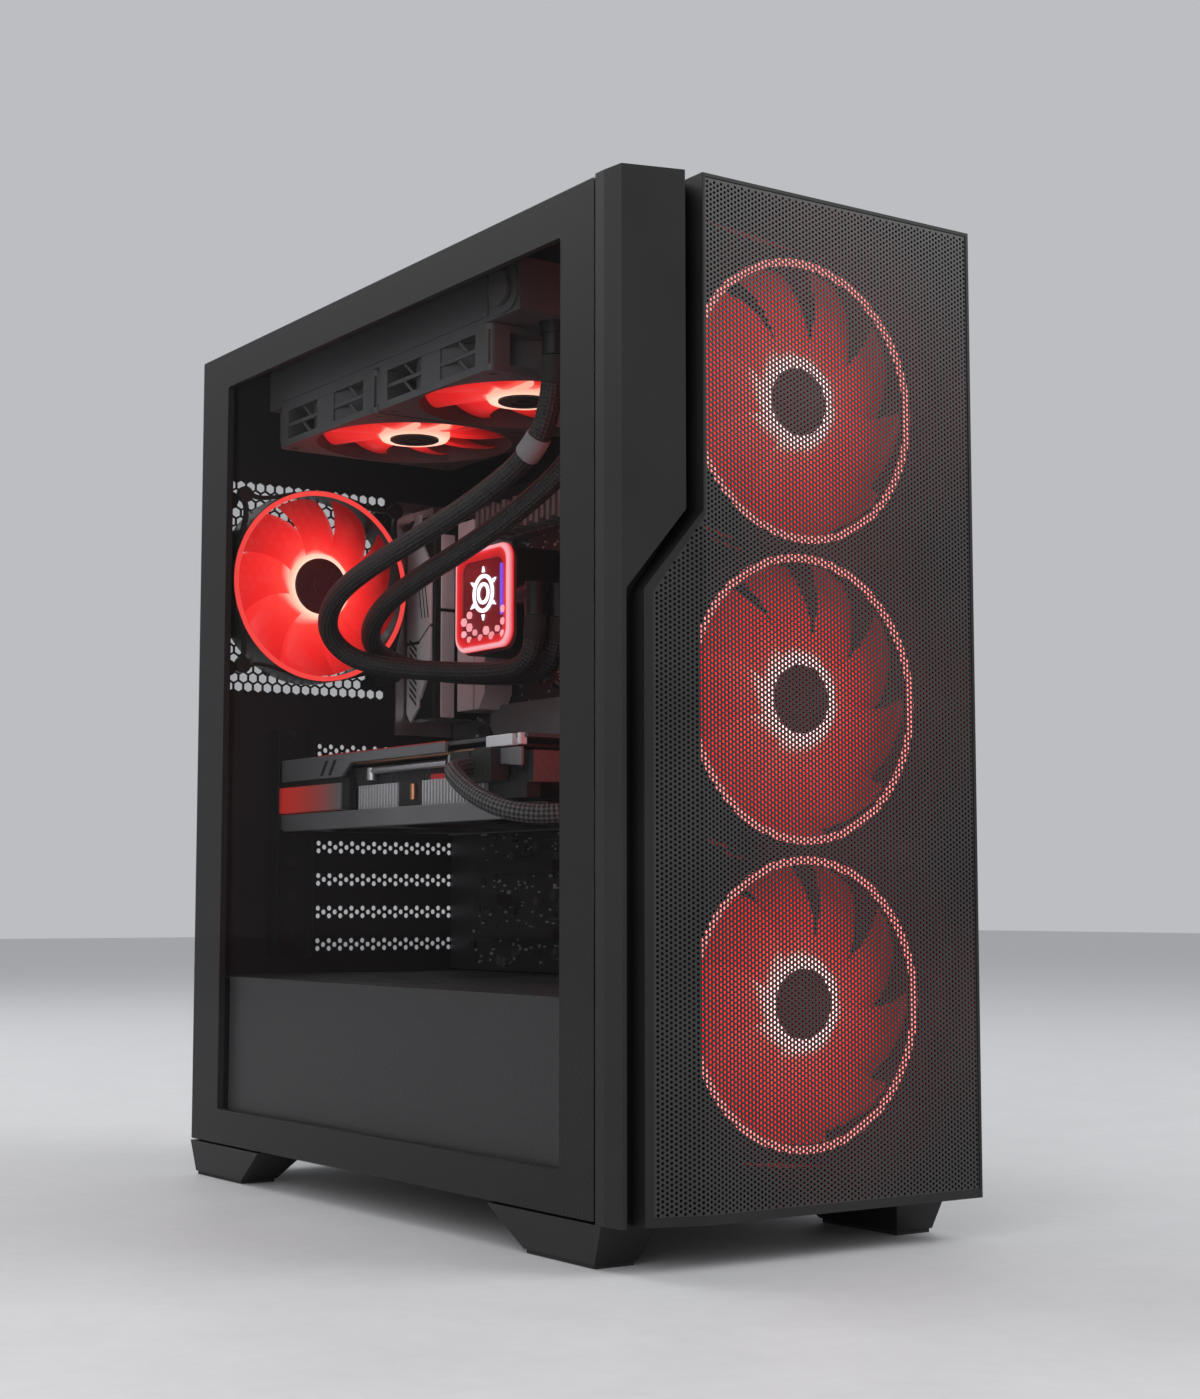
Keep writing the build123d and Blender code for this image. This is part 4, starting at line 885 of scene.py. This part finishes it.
def pump():
    """Pump block and its lit cap: pale rim, red band, dark face, bubbles, violet bar and plain white mark."""
    dress("pump_block", FAN_BLACK)
    low, high = span("pump_cap")
    cy, cz = (low.y + high.y) / 2, (low.z + high.z) / 2

    def loop(x, inset, r):
        edge = round_rect(low.y + inset, high.y - inset, low.z + inset, high.z - inset, r, 8)
        return [(x, *p) for p in edge]

    rim_steps = (
        (high.x - low.x, 0, 10, 0.40), (1.6, 0, 10, 0.75), (0.5, 0.7, 9.5, 0.95), (0.0, 2.0, 9, 0.98),
        (0.2, 3.0, 8.5, 0.55), (1.0, 5.5, 8, 0.42), (1.2, 7.6, 7.5, 0.36), (2.2, 8.4, 7, 0.05),
    )
    rim = Shape()
    rim.loops([loop(low.x + deep, inset, r) for deep, inset, r, _ in rim_steps], cap=(True, False),
              glow=[level for *_, level in rim_steps])
    rim.done("pump_glow_rim", GLOW_PUMP, replaces=["pump_cap"], slot="pump_lit", angle=60.0)
    face = Shape()
    face.loops([loop(low.x + 2.1, 8.2, 7), loop(low.x + 2.8, 8.2, 7)], glow=[0.2, 0.2])
    face.done("pump_face", GLOW_PUMP, slot="pump_lit")
    cells = Shape()
    for column in range(8):
        for row in range(8):
            y, z = low.y + 8 + column * 6.4, low.z + 7.5 + row * 7.4 + (column % 2) * 3.7
            inside = low.y + 6 < y < high.y - 6 and low.z + 6 < z < high.z - 6
            kept = z < cz - 17 or (z < cz - 5 and abs(y - cy) > 15)
            if not inside or not kept or math.hypot(y - cy, z - cz - 3) < 17 or DRAW.random() < 0.16:
                continue
            r = 2.0 + 0.9 * DRAW.random()
            turns = [math.pi * k / 3 for k in range(6)]
            outline = [(y + r * math.cos(a), z + r * math.sin(a)) for a in turns]
            cells.prism(outline, "x", low.x + 0.6, low.x + 2.3, glow=0.80 + 0.2 * DRAW.random())
    cells.done("pump_bubbles", GLOW_PUMP, bevel=0.35, slot="pump_lit")
    bar = Shape()
    strip = round_rect(low.y + 8.8, low.y + 11.4, cz - 12, high.z - 12, 1.2, 3)
    bar.prism(strip, "x", low.x + 1.2, low.x + 2.3)
    bar.done("pump_violet_bar", GLOW_VIOLET, slot="pump_lit")
    mark = Shape()
    for r0, r1 in ((9.4, 11.6), (4.6, 6.6)):
        section = [(r0, -0.8), (r1, -0.8), (r1, 0.4), (r0, 0.4)]
        mark.turned(section, (low.x + 2.0, cy, cz + 3), "x", 48, closed=True, glow=[0.9] * 4)
    for k in range(6):
        turn = math.pi / 3 * k + math.pi / 6
        a, b = (math.cos(turn), math.sin(turn)), (-math.sin(turn), math.cos(turn))
        outline = [(cy + a[0] * r + b[0] * w, cz + 3 + a[1] * r + b[1] * w) for r, w in
                   ((12.8, -1.3), (16.4, 0.0), (12.8, 1.3))]
        mark.prism(outline, "x", low.x + 1.2, low.x + 2.4, glow=0.9)
    mark.done("pump_white_mark", GLOW_WHITE, slot="pump_lit")


# ---- board ----
SMALL_PARTS = 1500


def motherboard():
    """Board parts: chips, capacitors, connectors, slots, memory, heatsinks and the port cover."""
    dress("motherboard", BOARD)
    dress("board_slots", CHIP)
    low, high = span("motherboard")
    face = low.x
    taken = [span(n) for n in ("memory_modules", "pump_block", "rear_ports")]
    parts = {"chips": Shape(), "tins": Shape(), "caps": Shape()}
    for _ in range(SMALL_PARTS):
        y, z = DRAW.uniform(low.y + 5, high.y - 30), DRAW.uniform(low.z + 4, high.z - 6)
        kind = DRAW.choice(("chips", "tins", "tins", "tins", "tins", "caps"))
        large = DRAW.random() < 0.12
        dy, dz = DRAW.uniform(0.4, 4.5 if large else 1.1), DRAW.uniform(0.4, 3.5 if large else 0.9)
        if kind == "tins" and large:
            kind = "chips"
        if any(a.y - 5 < y < b.y + 5 and a.z - 5 < z < b.z + 5 for a, b in taken):
            continue
        if kind == "caps":
            if DRAW.random() < 0.6:
                continue
            r, tall = DRAW.choice((1.6, 2.2, 3.0)), DRAW.uniform(3, 6)
            can = [(r, 0), (r, -tall + 0.4), (r - 0.4, -tall), (r * 0.3, -tall)]
            parts[kind].turned(can, (face, y, z), "x", 16)
        else:
            parts[kind].box((face - DRAW.uniform(0.6, 1.6), y - dy, z - dz), (face + 0.05, y + dy, z + dz))
    for name, material in (("chips", CHIP), ("tins", TIN), ("caps", FAN_GREY)):
        parts[name].done(f"board_{name}", material, bevel=0.12, slot="board")
    memory()
    port_cover()
    board_heatsinks()
    lanes = Shape()
    for k in range(12):
        z = low.z + 8 + 8 * k
        lanes.box((face - 0.25, low.y + 80, z), (face + 0.02, low.y + 118 + 16 * DRAW.random(), z + 0.6))
    for k in range(5):
        y = low.y + 16 + 13 * k
        lanes.box((face - 9.5, y, low.z + 2.5), (face + 0.02, y + 9.5, low.z + 8.5))
    lanes.done("board_headers", FAN_GREY, bevel=0.15, slot="board")


def memory():
    """Memory modules with heat spreaders and contacts."""
    low, high = span("memory_modules")
    pitch, thick, middle = 9.0, 5.2, (low.z + high.z) / 2
    spreaders, contacts = Shape(), Shape()
    for k in range(4):
        y = low.y + thick / 2 + pitch * k
        outline = [
            (low.x + 3, low.z), (high.x, low.z), (high.x, high.z), (low.x + 3, high.z), (low.x, high.z - 12),
            (low.x, middle + 18), (low.x + 2.2, middle + 12), (low.x + 2.2, middle - 12),
            (low.x, middle - 18), (low.x, low.z + 12),
        ]
        spreaders.prism(outline, "y", y - thick / 2, y + thick / 2)
        for i in range(8):
            z = low.z + 14 + i * 13
            spreaders.box((low.x + 5, y - thick / 2 - 0.3, z), (high.x - 5, y + thick / 2 + 0.3, z + 6))
        contacts.box((high.x - 1.5, y - 0.7, low.z + 3), (high.x + 2, y + 0.7, high.z - 3))
    spreaders.done("memory_spreaders", CARD_SILVER, bevel=0.5, replaces=["memory_modules"])
    contacts.done("memory_contacts", GOLD, slot="board")


def port_cover():
    """Angular cover over the rear ports with silver plates, and the ribbed power heatsink beside it."""
    low, high = span("port_cover_heatsink")
    side = high.y - 31.0
    body = Shape()
    section = [
        (low.x + 2, side), (low.x + 0.6, side + 2), (low.x + 0.6, high.y), (low.x + 3, high.y),
        (low.x + 3, side + 5), (high.x, side + 5), (high.x, side),
    ]
    body.prism(section, "z", low.z + 2, high.z - 2)
    body.done("port_cover_body", FAN_BLACK, bevel=0.6, replaces=["port_cover_heatsink"])
    x0, x1 = low.x - 1.2, low.x + 0.7
    upper = [
        (1, high.z - 34), (15, high.z - 16), (15, high.z), (18, high.z), (31, high.z - 12),
        (31, low.z + 52), (16, low.z + 52), (1, low.z + 62),
    ]
    inner = [(1, low.z + 60), (14, low.z + 51), (14, low.z + 14), (1, low.z + 34)]
    outer = [(16, low.z + 50), (31, low.z + 50), (31, low.z + 6), (26, low.z), (16, low.z + 9)]
    plates = Shape()
    for outline, x in ((upper, x0), (inner, x0 - 0.4), (outer, x0)):
        plates.prism([(side + y, z) for y, z in outline], "x", x, x1)
    plates.done("port_cover_plates", SILVER, bevel=0.4, slot="heatsink_silver")
    stripes = []
    for k in range(9):
        z = low.z + 10 + k * 4.4
        stripes.append([(18, z), (27, z + 7), (27, z + 9), (18, z + 2)])
    for y in (3, 7, 11):
        stripes.append([(y, low.z + 66), (y + 1, low.z + 66), (y + 6, low.z + 92), (y + 5, low.z + 92)])
    grooves = Shape()
    for outline in stripes:
        grooves.prism([(side + y, z) for y, z in outline], "x", x0 - 0.15, x0 + 0.4)
    grooves.done("port_cover_grooves", CHIP, slot="heatsink_silver")
    trims = Shape()
    for z0, z1 in ((low.z + 2, low.z + 33), (low.z + 35, low.z + 70), (low.z + 72, high.z - 14)):
        trims.box((low.x + 6, side - 0.8, z0), (low.x + 16, side + 0.4, z1))
    bottom, top = low.z + 5, high.z - 8
    for start, width, cut, raised in ((10, 13, 0, 0.0), (24.2, 6, 0, 0.8), (31.4, 12, 10, 0.0)):
        y1 = side - start
        y0 = y1 - width
        outline = [(y1, bottom), (y1, top), (y0, top), (y0, bottom + cut), (y0 + cut * 0.7, bottom)]
        trims.prism(outline, "x", low.x + 12.5 - raised, high.x)
    trims.done("power_heatsink", SILVER, bevel=0.5, slot="heatsink_silver")


DRIVE_COVER_Z = 261.3


def board_heatsinks():
    """Finned top heatsink, ribbed chipset cover and a flat drive cover."""
    low, high = span("board_heatsinks")
    board_low = span("motherboard")[0]
    pump_low, pump_high = span("pump_block")
    shape = Shape()
    y0, y1 = pump_low.y + 2, pump_high.y + 14
    shape.box((board_low.x - 10, y0, high.z - 20), (board_low.x - 0.5, y1, high.z))
    count = 16
    for k in range(count):
        y = y0 + (y1 - y0) * (k + 0.2) / count
        shape.box((low.x, y, high.z - 20 + (k % 2) * 2), (board_low.x - 9, y + 3.4, high.z - (k % 2) * 2))
    foot, top = board_low.x - 0.5, board_low.x - 6.5
    y0, z0 = board_low.y + 12, board_low.z + 26
    chipset = [(8, 0), (62, 0), (62, 50), (54, 58), (0, 58), (0, 8)]
    shape.prism([(y0 + y, z0 + z) for y, z in chipset], "x", top, foot)
    for k in range(9):
        z = z0 + 6 + k * 5.4
        shape.box((top - 1.1, y0 + 5, z), (top + 0.5, y0 + 57, z + 2.6))
    y0, z0 = board_low.y + 92, DRIVE_COVER_Z
    drive_cover = [(0, 0), (84, 0), (94, 10), (94, 24), (8, 24), (0, 16)]
    shape.prism([(y0 + y, z0 + z) for y, z in drive_cover], "x", top, foot)
    shape.done("board_heatsink_set", CARD_SILVER, bevel=0.4, replaces=["board_heatsinks"])


# ---- graphics card ----
def graphics_card():
    """Fins, pipes and posts between silver rails, badge block, fan cover, three fans and the plugs."""
    low, high = span("card_heatsink")
    fins, behind = Shape(), Shape()
    face = span("card_fan_cover")[0].x + 2.5
    for y0, y1 in ((-14.0, 53.0), (81.0, 128.0)):
        y = y0
        while y < y1:
            fins.box((face, y, low.z - 8.5), (low.x + 6, y + 1.1, low.z + 5.5))
            y += 3.4
    # The fins deep behind get the darker copy of the fin aluminium as painted shade.
    y = low.y
    while y < high.y:
        behind.box((low.x, y, low.z), (high.x, y + 0.6, high.z - 0.5))
        y += 2.6
    fins.done("card_front_fins", FIN, slot="heatsink_silver")
    behind.done("card_fins", FIN_PAINTED_SHADE, replaces=["card_heatsink"])
    boxes("card_fin_core", CHIP, [
        ((face + 3, low.y + 6, low.z - 8.0), (low.x + 8, high.y - 4, low.z + 4.8)),
        ((face + 1.2, 53.5, low.z - 9.0), (face + 4, 80.5, low.z + 6.5)),
    ], bevel=0.4, slot="heatsink_silver")
    pipe = Shape()
    pipe.turned([(1.9, 0), (1.9, 87)], (0, 0, 0), "z", 20)
    lying = Matrix.Rotation(math.radians(-90), 4, "X")
    pipe.bm.transform(Matrix.Translation((face - 1.0, 22.0, high.z - 3.6)) @ lying)
    for y, r, z0, z1 in ((13.5, 5.0, -6.5, 0.4), (109.0, 3.2, -9.0, -1.5), (98.0, 1.6, -5.5, -1.5)):
        post = [(r, high.z + z0), (r, high.z + z1 - 0.5), (r - 0.5, high.z + z1)]
        pipe.turned(post, (face - 0.5, y, 0), "z", 28)
    pipe.done("card_pipe_and_posts", TIN, bevel=0.25, slot="heatsink_silver")
    copper = Shape()
    copper.box((face - 1.5, -6.0, high.z + 1.2), (low.x + 4, 130.0, high.z + 2.8))
    copper.turned([(2.2, 0), (2.2, 9.0)], (face + 0.5, 62.0, low.z - 5.0), "z", 24)
    copper.done("card_copper_edge", COPPER, bevel=0.3, slot="heatsink_silver")
    # A dim red glowing strip above the front fins: painted reflection of the fans' red light, not a lamp.
    lamp_and_painted_reflection = ((face + 2.0, -4.0, low.z + 5.8), (face + 8.0, 46.0, low.z + 8.6))
    boxes("card_inner_painted_reflection", GLOW_PAINTED_REFLECTION, [lamp_and_painted_reflection], bevel=0.3)
    card_rails()
    card_cover()
    for i in (1, 2, 3):
        body = f"card_rotor_{i}"
        place, lift = rotor(f"card_spin_{i}", body, f"card_fan_{i}", 15.0, 42.6, 9.0, 11, 17.0, FAN_BLACK,
                            sweep=30, angles=(24, 16))
        hub_parts(f"card_{i}", body, place, lift, 15.0, 11.0, 9.0, FAN_BLACK, CARD_SILVER)
    dress("card_board", BOARD)
    dress("card_bracket", TIN)


def card_rails():
    """Backplate, silver rail with slanted slots, the badge block below it, the end clamp and the plugs."""
    low, high = span("card_backplate")
    top = high.z
    plate = Shape()
    plate.box((low.x + 2.4, low.y + 1, top - 2.2), (high.x, high.y - 9, top))
    for k in range(14):
        y = low.y + 12 + k * 5
        plate.box((low.x + 22, y, top - 2.4), (high.x - 22, y + 2.4, top + 0.05))
    plate.done("card_backplate_sheet", FAN_GREY, bevel=0.4, replaces=["card_backplate"])
    x0, x1 = low.x - 0.4, low.x + 2.2
    rear, step, front = high.y - 8.0, high.y - 87.0, 19.0
    rail = Shape()
    outline = [
        (rear, top), (rear, top - 13.5), (step, top - 13.5), (step - 11, top - 5.8),
        (front, top - 5.8), (front, top),
    ]
    rail.prism(outline, "x", x0, x1)
    rail.done("card_top_rail", CARD_SILVER, bevel=0.5, slot="heatsink_silver")
    slots = Shape()
    for k in range(2):
        y = step + 6 + 10.5 * k
        outline = [(y, top - 3.2), (y + 3.6, top - 3.2), (y + 10.6, top - 12), (y + 7, top - 12)]
        slots.prism(outline, "x", x0 - 0.2, x0 + 0.4)
    slots.done("card_rail_slots", CHIP, slot="heatsink_silver")
    # Dim red glowing strip along the rail's top edge: painted reflection of the fans' red light.
    boxes("card_edge_painted_reflection", GLOW_PAINTED_REFLECTION, [((x0 - 0.1, front, top - 0.1), (x0 + 1.4, rear - 50, top + 0.35))])
    badge = Shape()
    z0, z1 = top - 32.5, top - 17
    badge.prism([(high.y, z0), (high.y, z1), (step + 2, z1), (step + 2, z0)], "x", x0, x0 + 8)
    badge.done("card_badge", BADGE, bevel=0.5, slot="card_shell")
    boxes("card_shadow_gap", CHIP, [
        ((x0 + 1.5, step - 7, z0), (x0 + 6, step + 2, top - 14)),
        ((x0 + 1.5, step, z1), (x0 + 6, rear, top - 13.4)),
    ], bevel=0.3, slot="card_shell")
    clamp = [((x0, y0, top - 6), (x1 + 2, y1, top + 0.2)) for y0, y1 in ((-50, -24), (-58, -55))]
    boxes("card_end_clamp", SILVER, clamp, bevel=0.6, slot="heatsink_silver")
    shelf = Shape()
    shelf.prism([(-28, top - 7), (-58, top - 7), (-58, top - 17), (-36, top - 15)], "x", x0 + 0.6, x1)
    shelf.done("card_end_shelf", CARD_SILVER, bevel=0.5, slot="heatsink_silver")
    plug = Shape()
    plug_low, plug_high = span("card_power_plug")
    middle = (plug_low.y + plug_high.y) / 2
    for y0, y1 in ((plug_low.y, middle - 0.5), (middle + 0.5, plug_high.y)):
        plug.box((plug_low.x, y0, plug_low.z), (plug_high.x - 1.6, y1, plug_high.z))
        for k in range(4):
            y = y0 + 2.2 + k * (y1 - y0 - 4) / 3.3
            plug.box((plug_low.x - 0.4, y - 0.2, plug_low.z + 2), (plug_low.x + 1, y + 2.2, plug_high.z - 9))
    plug.done("card_power_plugs", CHIP, bevel=0.5, replaces=["card_power_plug"])


def badge_material():
    """Block that fades from red at the rear to grey, with a faint glow in its own colour."""
    made, tree, shader = blank("badge_red_fade")
    place = add_node(tree, "TexCoord").outputs["Object"]
    split = add_node(tree, "SeparateXYZ", Vector=place).outputs["Y"]
    grain = add_node(tree, "TexNoise", Vector=place, Scale=900.0, Detail=2.0).outputs["Fac"]
    share = add_node(tree, "MapRange", Value=split, From_Min=0.135, From_Max=0.215).outputs["Result"]
    stops = [(0.1, (0.10, 0.10, 0.105)), (0.6, (0.42, 0.05, 0.04)), (1.0, (0.75, 0.04, 0.03))]
    colour = ramp(tree, calc(tree, "MULTIPLY_ADD", grain, 0.06, share), stops)
    tree.links.new(colour, shader.inputs["Base Color"])
    tree.links.new(colour, shader.inputs["Emission Color"])
    shader.inputs["Emission Strength"].default_value = 0.35
    shader.inputs["Roughness"].default_value = 0.4
    return made


BADGE = badge_material()


def card_cover():
    """Fan cover: a tapered silver band round three openings, with dark struts."""
    low, high = span("card_fan_cover")
    band = Shape()
    outline = [
        (high.y + 8, low.z + 4), (high.y + 8, low.z + 10.4), (low.y + 48, low.z + 10.4),
        (low.y + 20, low.z + 3.4), (low.y, low.z + 1.2), (low.y + 2, low.z), (high.y - 2, low.z),
    ]
    for x0, x1 in ((low.x - 2.0, low.x + 2.0), (high.x - 3.0, high.x)):
        band.prism(outline, "x", x0, x1)
    band.done("card_side_bands", CARD_SILVER, bevel=0.7, replaces=["card_fan_cover"])
    cover = Shape()
    hole, half_pitch, steps = 44.4, 47.0, 48
    z0, z1 = low.z + 0.8, low.z + 8.6
    for i in (1, 2, 3):
        cx, cy = (v / MM for v in JOINT[f"card_spin_{i}"]["pos_m"][:2])
        y0 = low.y if i == 1 else cy - half_pitch
        y1 = high.y if i == 3 else cy + half_pitch
        outer, inner = [], []
        for k in range(steps):
            a = 2 * math.pi * (k + 0.5) / steps
            c, s = math.cos(a), math.sin(a)
            across = high.x - 3 - cx if c > 0 else cx - low.x - 2
            along = y1 - cy if s > 0 else cy - y0
            reach = min(across / abs(c), along / abs(s))
            outer.append((cx + c * reach, cy + s * reach))
            inner.append((cx + hole * c, cy + hole * s))
        cover.loops([[(*p, z) for p in loop] for loop, z in
                     ((outer, z0), (inner, z0), (inner, z1), (outer, z1), (outer, z0))], cap=(False, False))
    cover.done("card_fan_openings", FAN_BLACK, slot="card_shell")


# ---- case details ----
CASE_MATERIALS = (
    (STEEL, ("rear_panel", "floor_panel", "top_deck", "front_wall", "board_tray", "drive_cage",
             "steel_side_panel", "slot_covers")),
    (STEEL_LIGHT, ("supply_shroud",)),
    (RUBBER, ("cable_grommets", "foot_pads")),
    (PLASTIC, ("feet", "front_bezel", "mesh_panel_rim", "port_strip")),
    (SCREW, ("steel_panel_thumbscrews",)),
    (TIN, ("front_ports", "rear_ports")),
    (BUTTON, ("power_button", "reset_button", "supply_switch")),
    (SCREEN, ("top_filter", "supply_filter")),
    (FAN_BLACK, ("supply_case", "supply_fan_rotor")),
    (CHIP, ("supply_inlet",)),
)


def chassis():
    """Materials of the sheets, the screws and rails inside, and the top screens."""
    for material, node_names in CASE_MATERIALS:
        for node_name in node_names:
            dress(node_name, material)
    painted_groove_shade()
    slot_rail()
    rear_port_faces()


def painted_groove_shade():
    """Near-black thin sheet at the back of the channel between the cheek and the mesh panel: painted shade in
    the recess.
    """
    low, high = span("mesh_panel_rim")
    back = low.y + 17.6
    line = [(CHEEK_LOW, low.z), (CHEEK_LOW, NOTCH_LOW), (CHEEK_HIGH, NOTCH_HIGH), (CHEEK_HIGH, high.z)]
    inner = [(x - 7.9, z) for x, z in line]
    shape = Shape()
    shape.prism(line + inner[::-1], "y", back, back + 0.15)
    shape.done("groove_shade_sheet", GROOVE_SHADE, slot="plastic_black")


SLOT_COUNT, SLOT_PITCH = 7, 20.32


def slot_rail():
    """Folded rail with the screws beside the slot covers."""
    low, high = span("slot_covers")
    flanges = [((x, low.y - 4.0, low.z + 2), (x + 1.0, high.y - 0.1, high.z + 2))
               for x in (low.x - 1.6, low.x - 26.0)]
    web = ((low.x - 25.0, high.y - 1.4, low.z + 2), (low.x - 1.6, high.y - 0.2, high.z + 2))
    boxes("slot_rail", STEEL, flanges + [web], bevel=0.3)
    screws = Shape()
    head = [(2.4, 0.0), (2.4, -1.4), (1.9, -2.0), (1.0, -2.0), (0.9, -1.2), (0.2, -1.2)]
    for i in range(SLOT_COUNT):
        z = low.z + 18.7 + SLOT_PITCH * i
        screws.turned(head, (low.x - 12.0, high.y - 1.4, z), "y", 24)
    screws.done("slot_screws", SCREW)


# Bottom, height and depth of each block with sockets; the lowest block has the audio jacks.
REAR_BLOCKS = (
    (315.0, 16.0, 16.0), (334.0, 16.0, 16.0), (354.0, 18.0, 14.0), (375.0, 20.0, 22.0), (397.0, 18.0, 30.0),
)
AUDIO_LOW, AUDIO_PITCH = 282.0, 10.5


def rear_port_faces():
    """Dark openings with blue tongues on the rear port blocks, and the audio jacks' rims."""
    high = span("rear_ports")[1]
    face = high.y
    openings, tongues, rims = Shape(), Shape(), Shape()
    for z, tall, deep in REAR_BLOCKS:
        rows = max(1, int(deep // 8))
        step = (deep - 2.0) / rows
        for k in range(rows):
            x = high.x - deep + 1.0 + k * step
            middle = x + step / 2
            openings.box((x + 0.7, face - 0.4, z + 1.4), (x + step - 0.7, face + 0.12, z + tall - 1.4))
            tongues.box((middle - 0.7, face - 0.4, z + 2.6), (middle + 0.7, face + 0.3, z + tall - 2.6))
    lip = [(4.0, -0.3), (4.0, 0.4), (3.2, 0.7), (2.0, 0.5), (1.9, -0.2)]
    for k in range(5):
        x, z = high.x - 8.5 - (k // 3) * 12.5, AUDIO_LOW + (k % 3) * AUDIO_PITCH
        rims.turned(lip, (x, face + 0.2, z), "y", 24)
    openings.done("rear_port_openings", CHIP, slot="board")
    tongues.done("rear_port_tongues", BLUE, slot="board")
    rims.done("rear_audio_rims", FAN_GREY, slot="board")


chassis()
glass_side()
front_mesh()
case_fans()
cooler()
motherboard()
graphics_card()
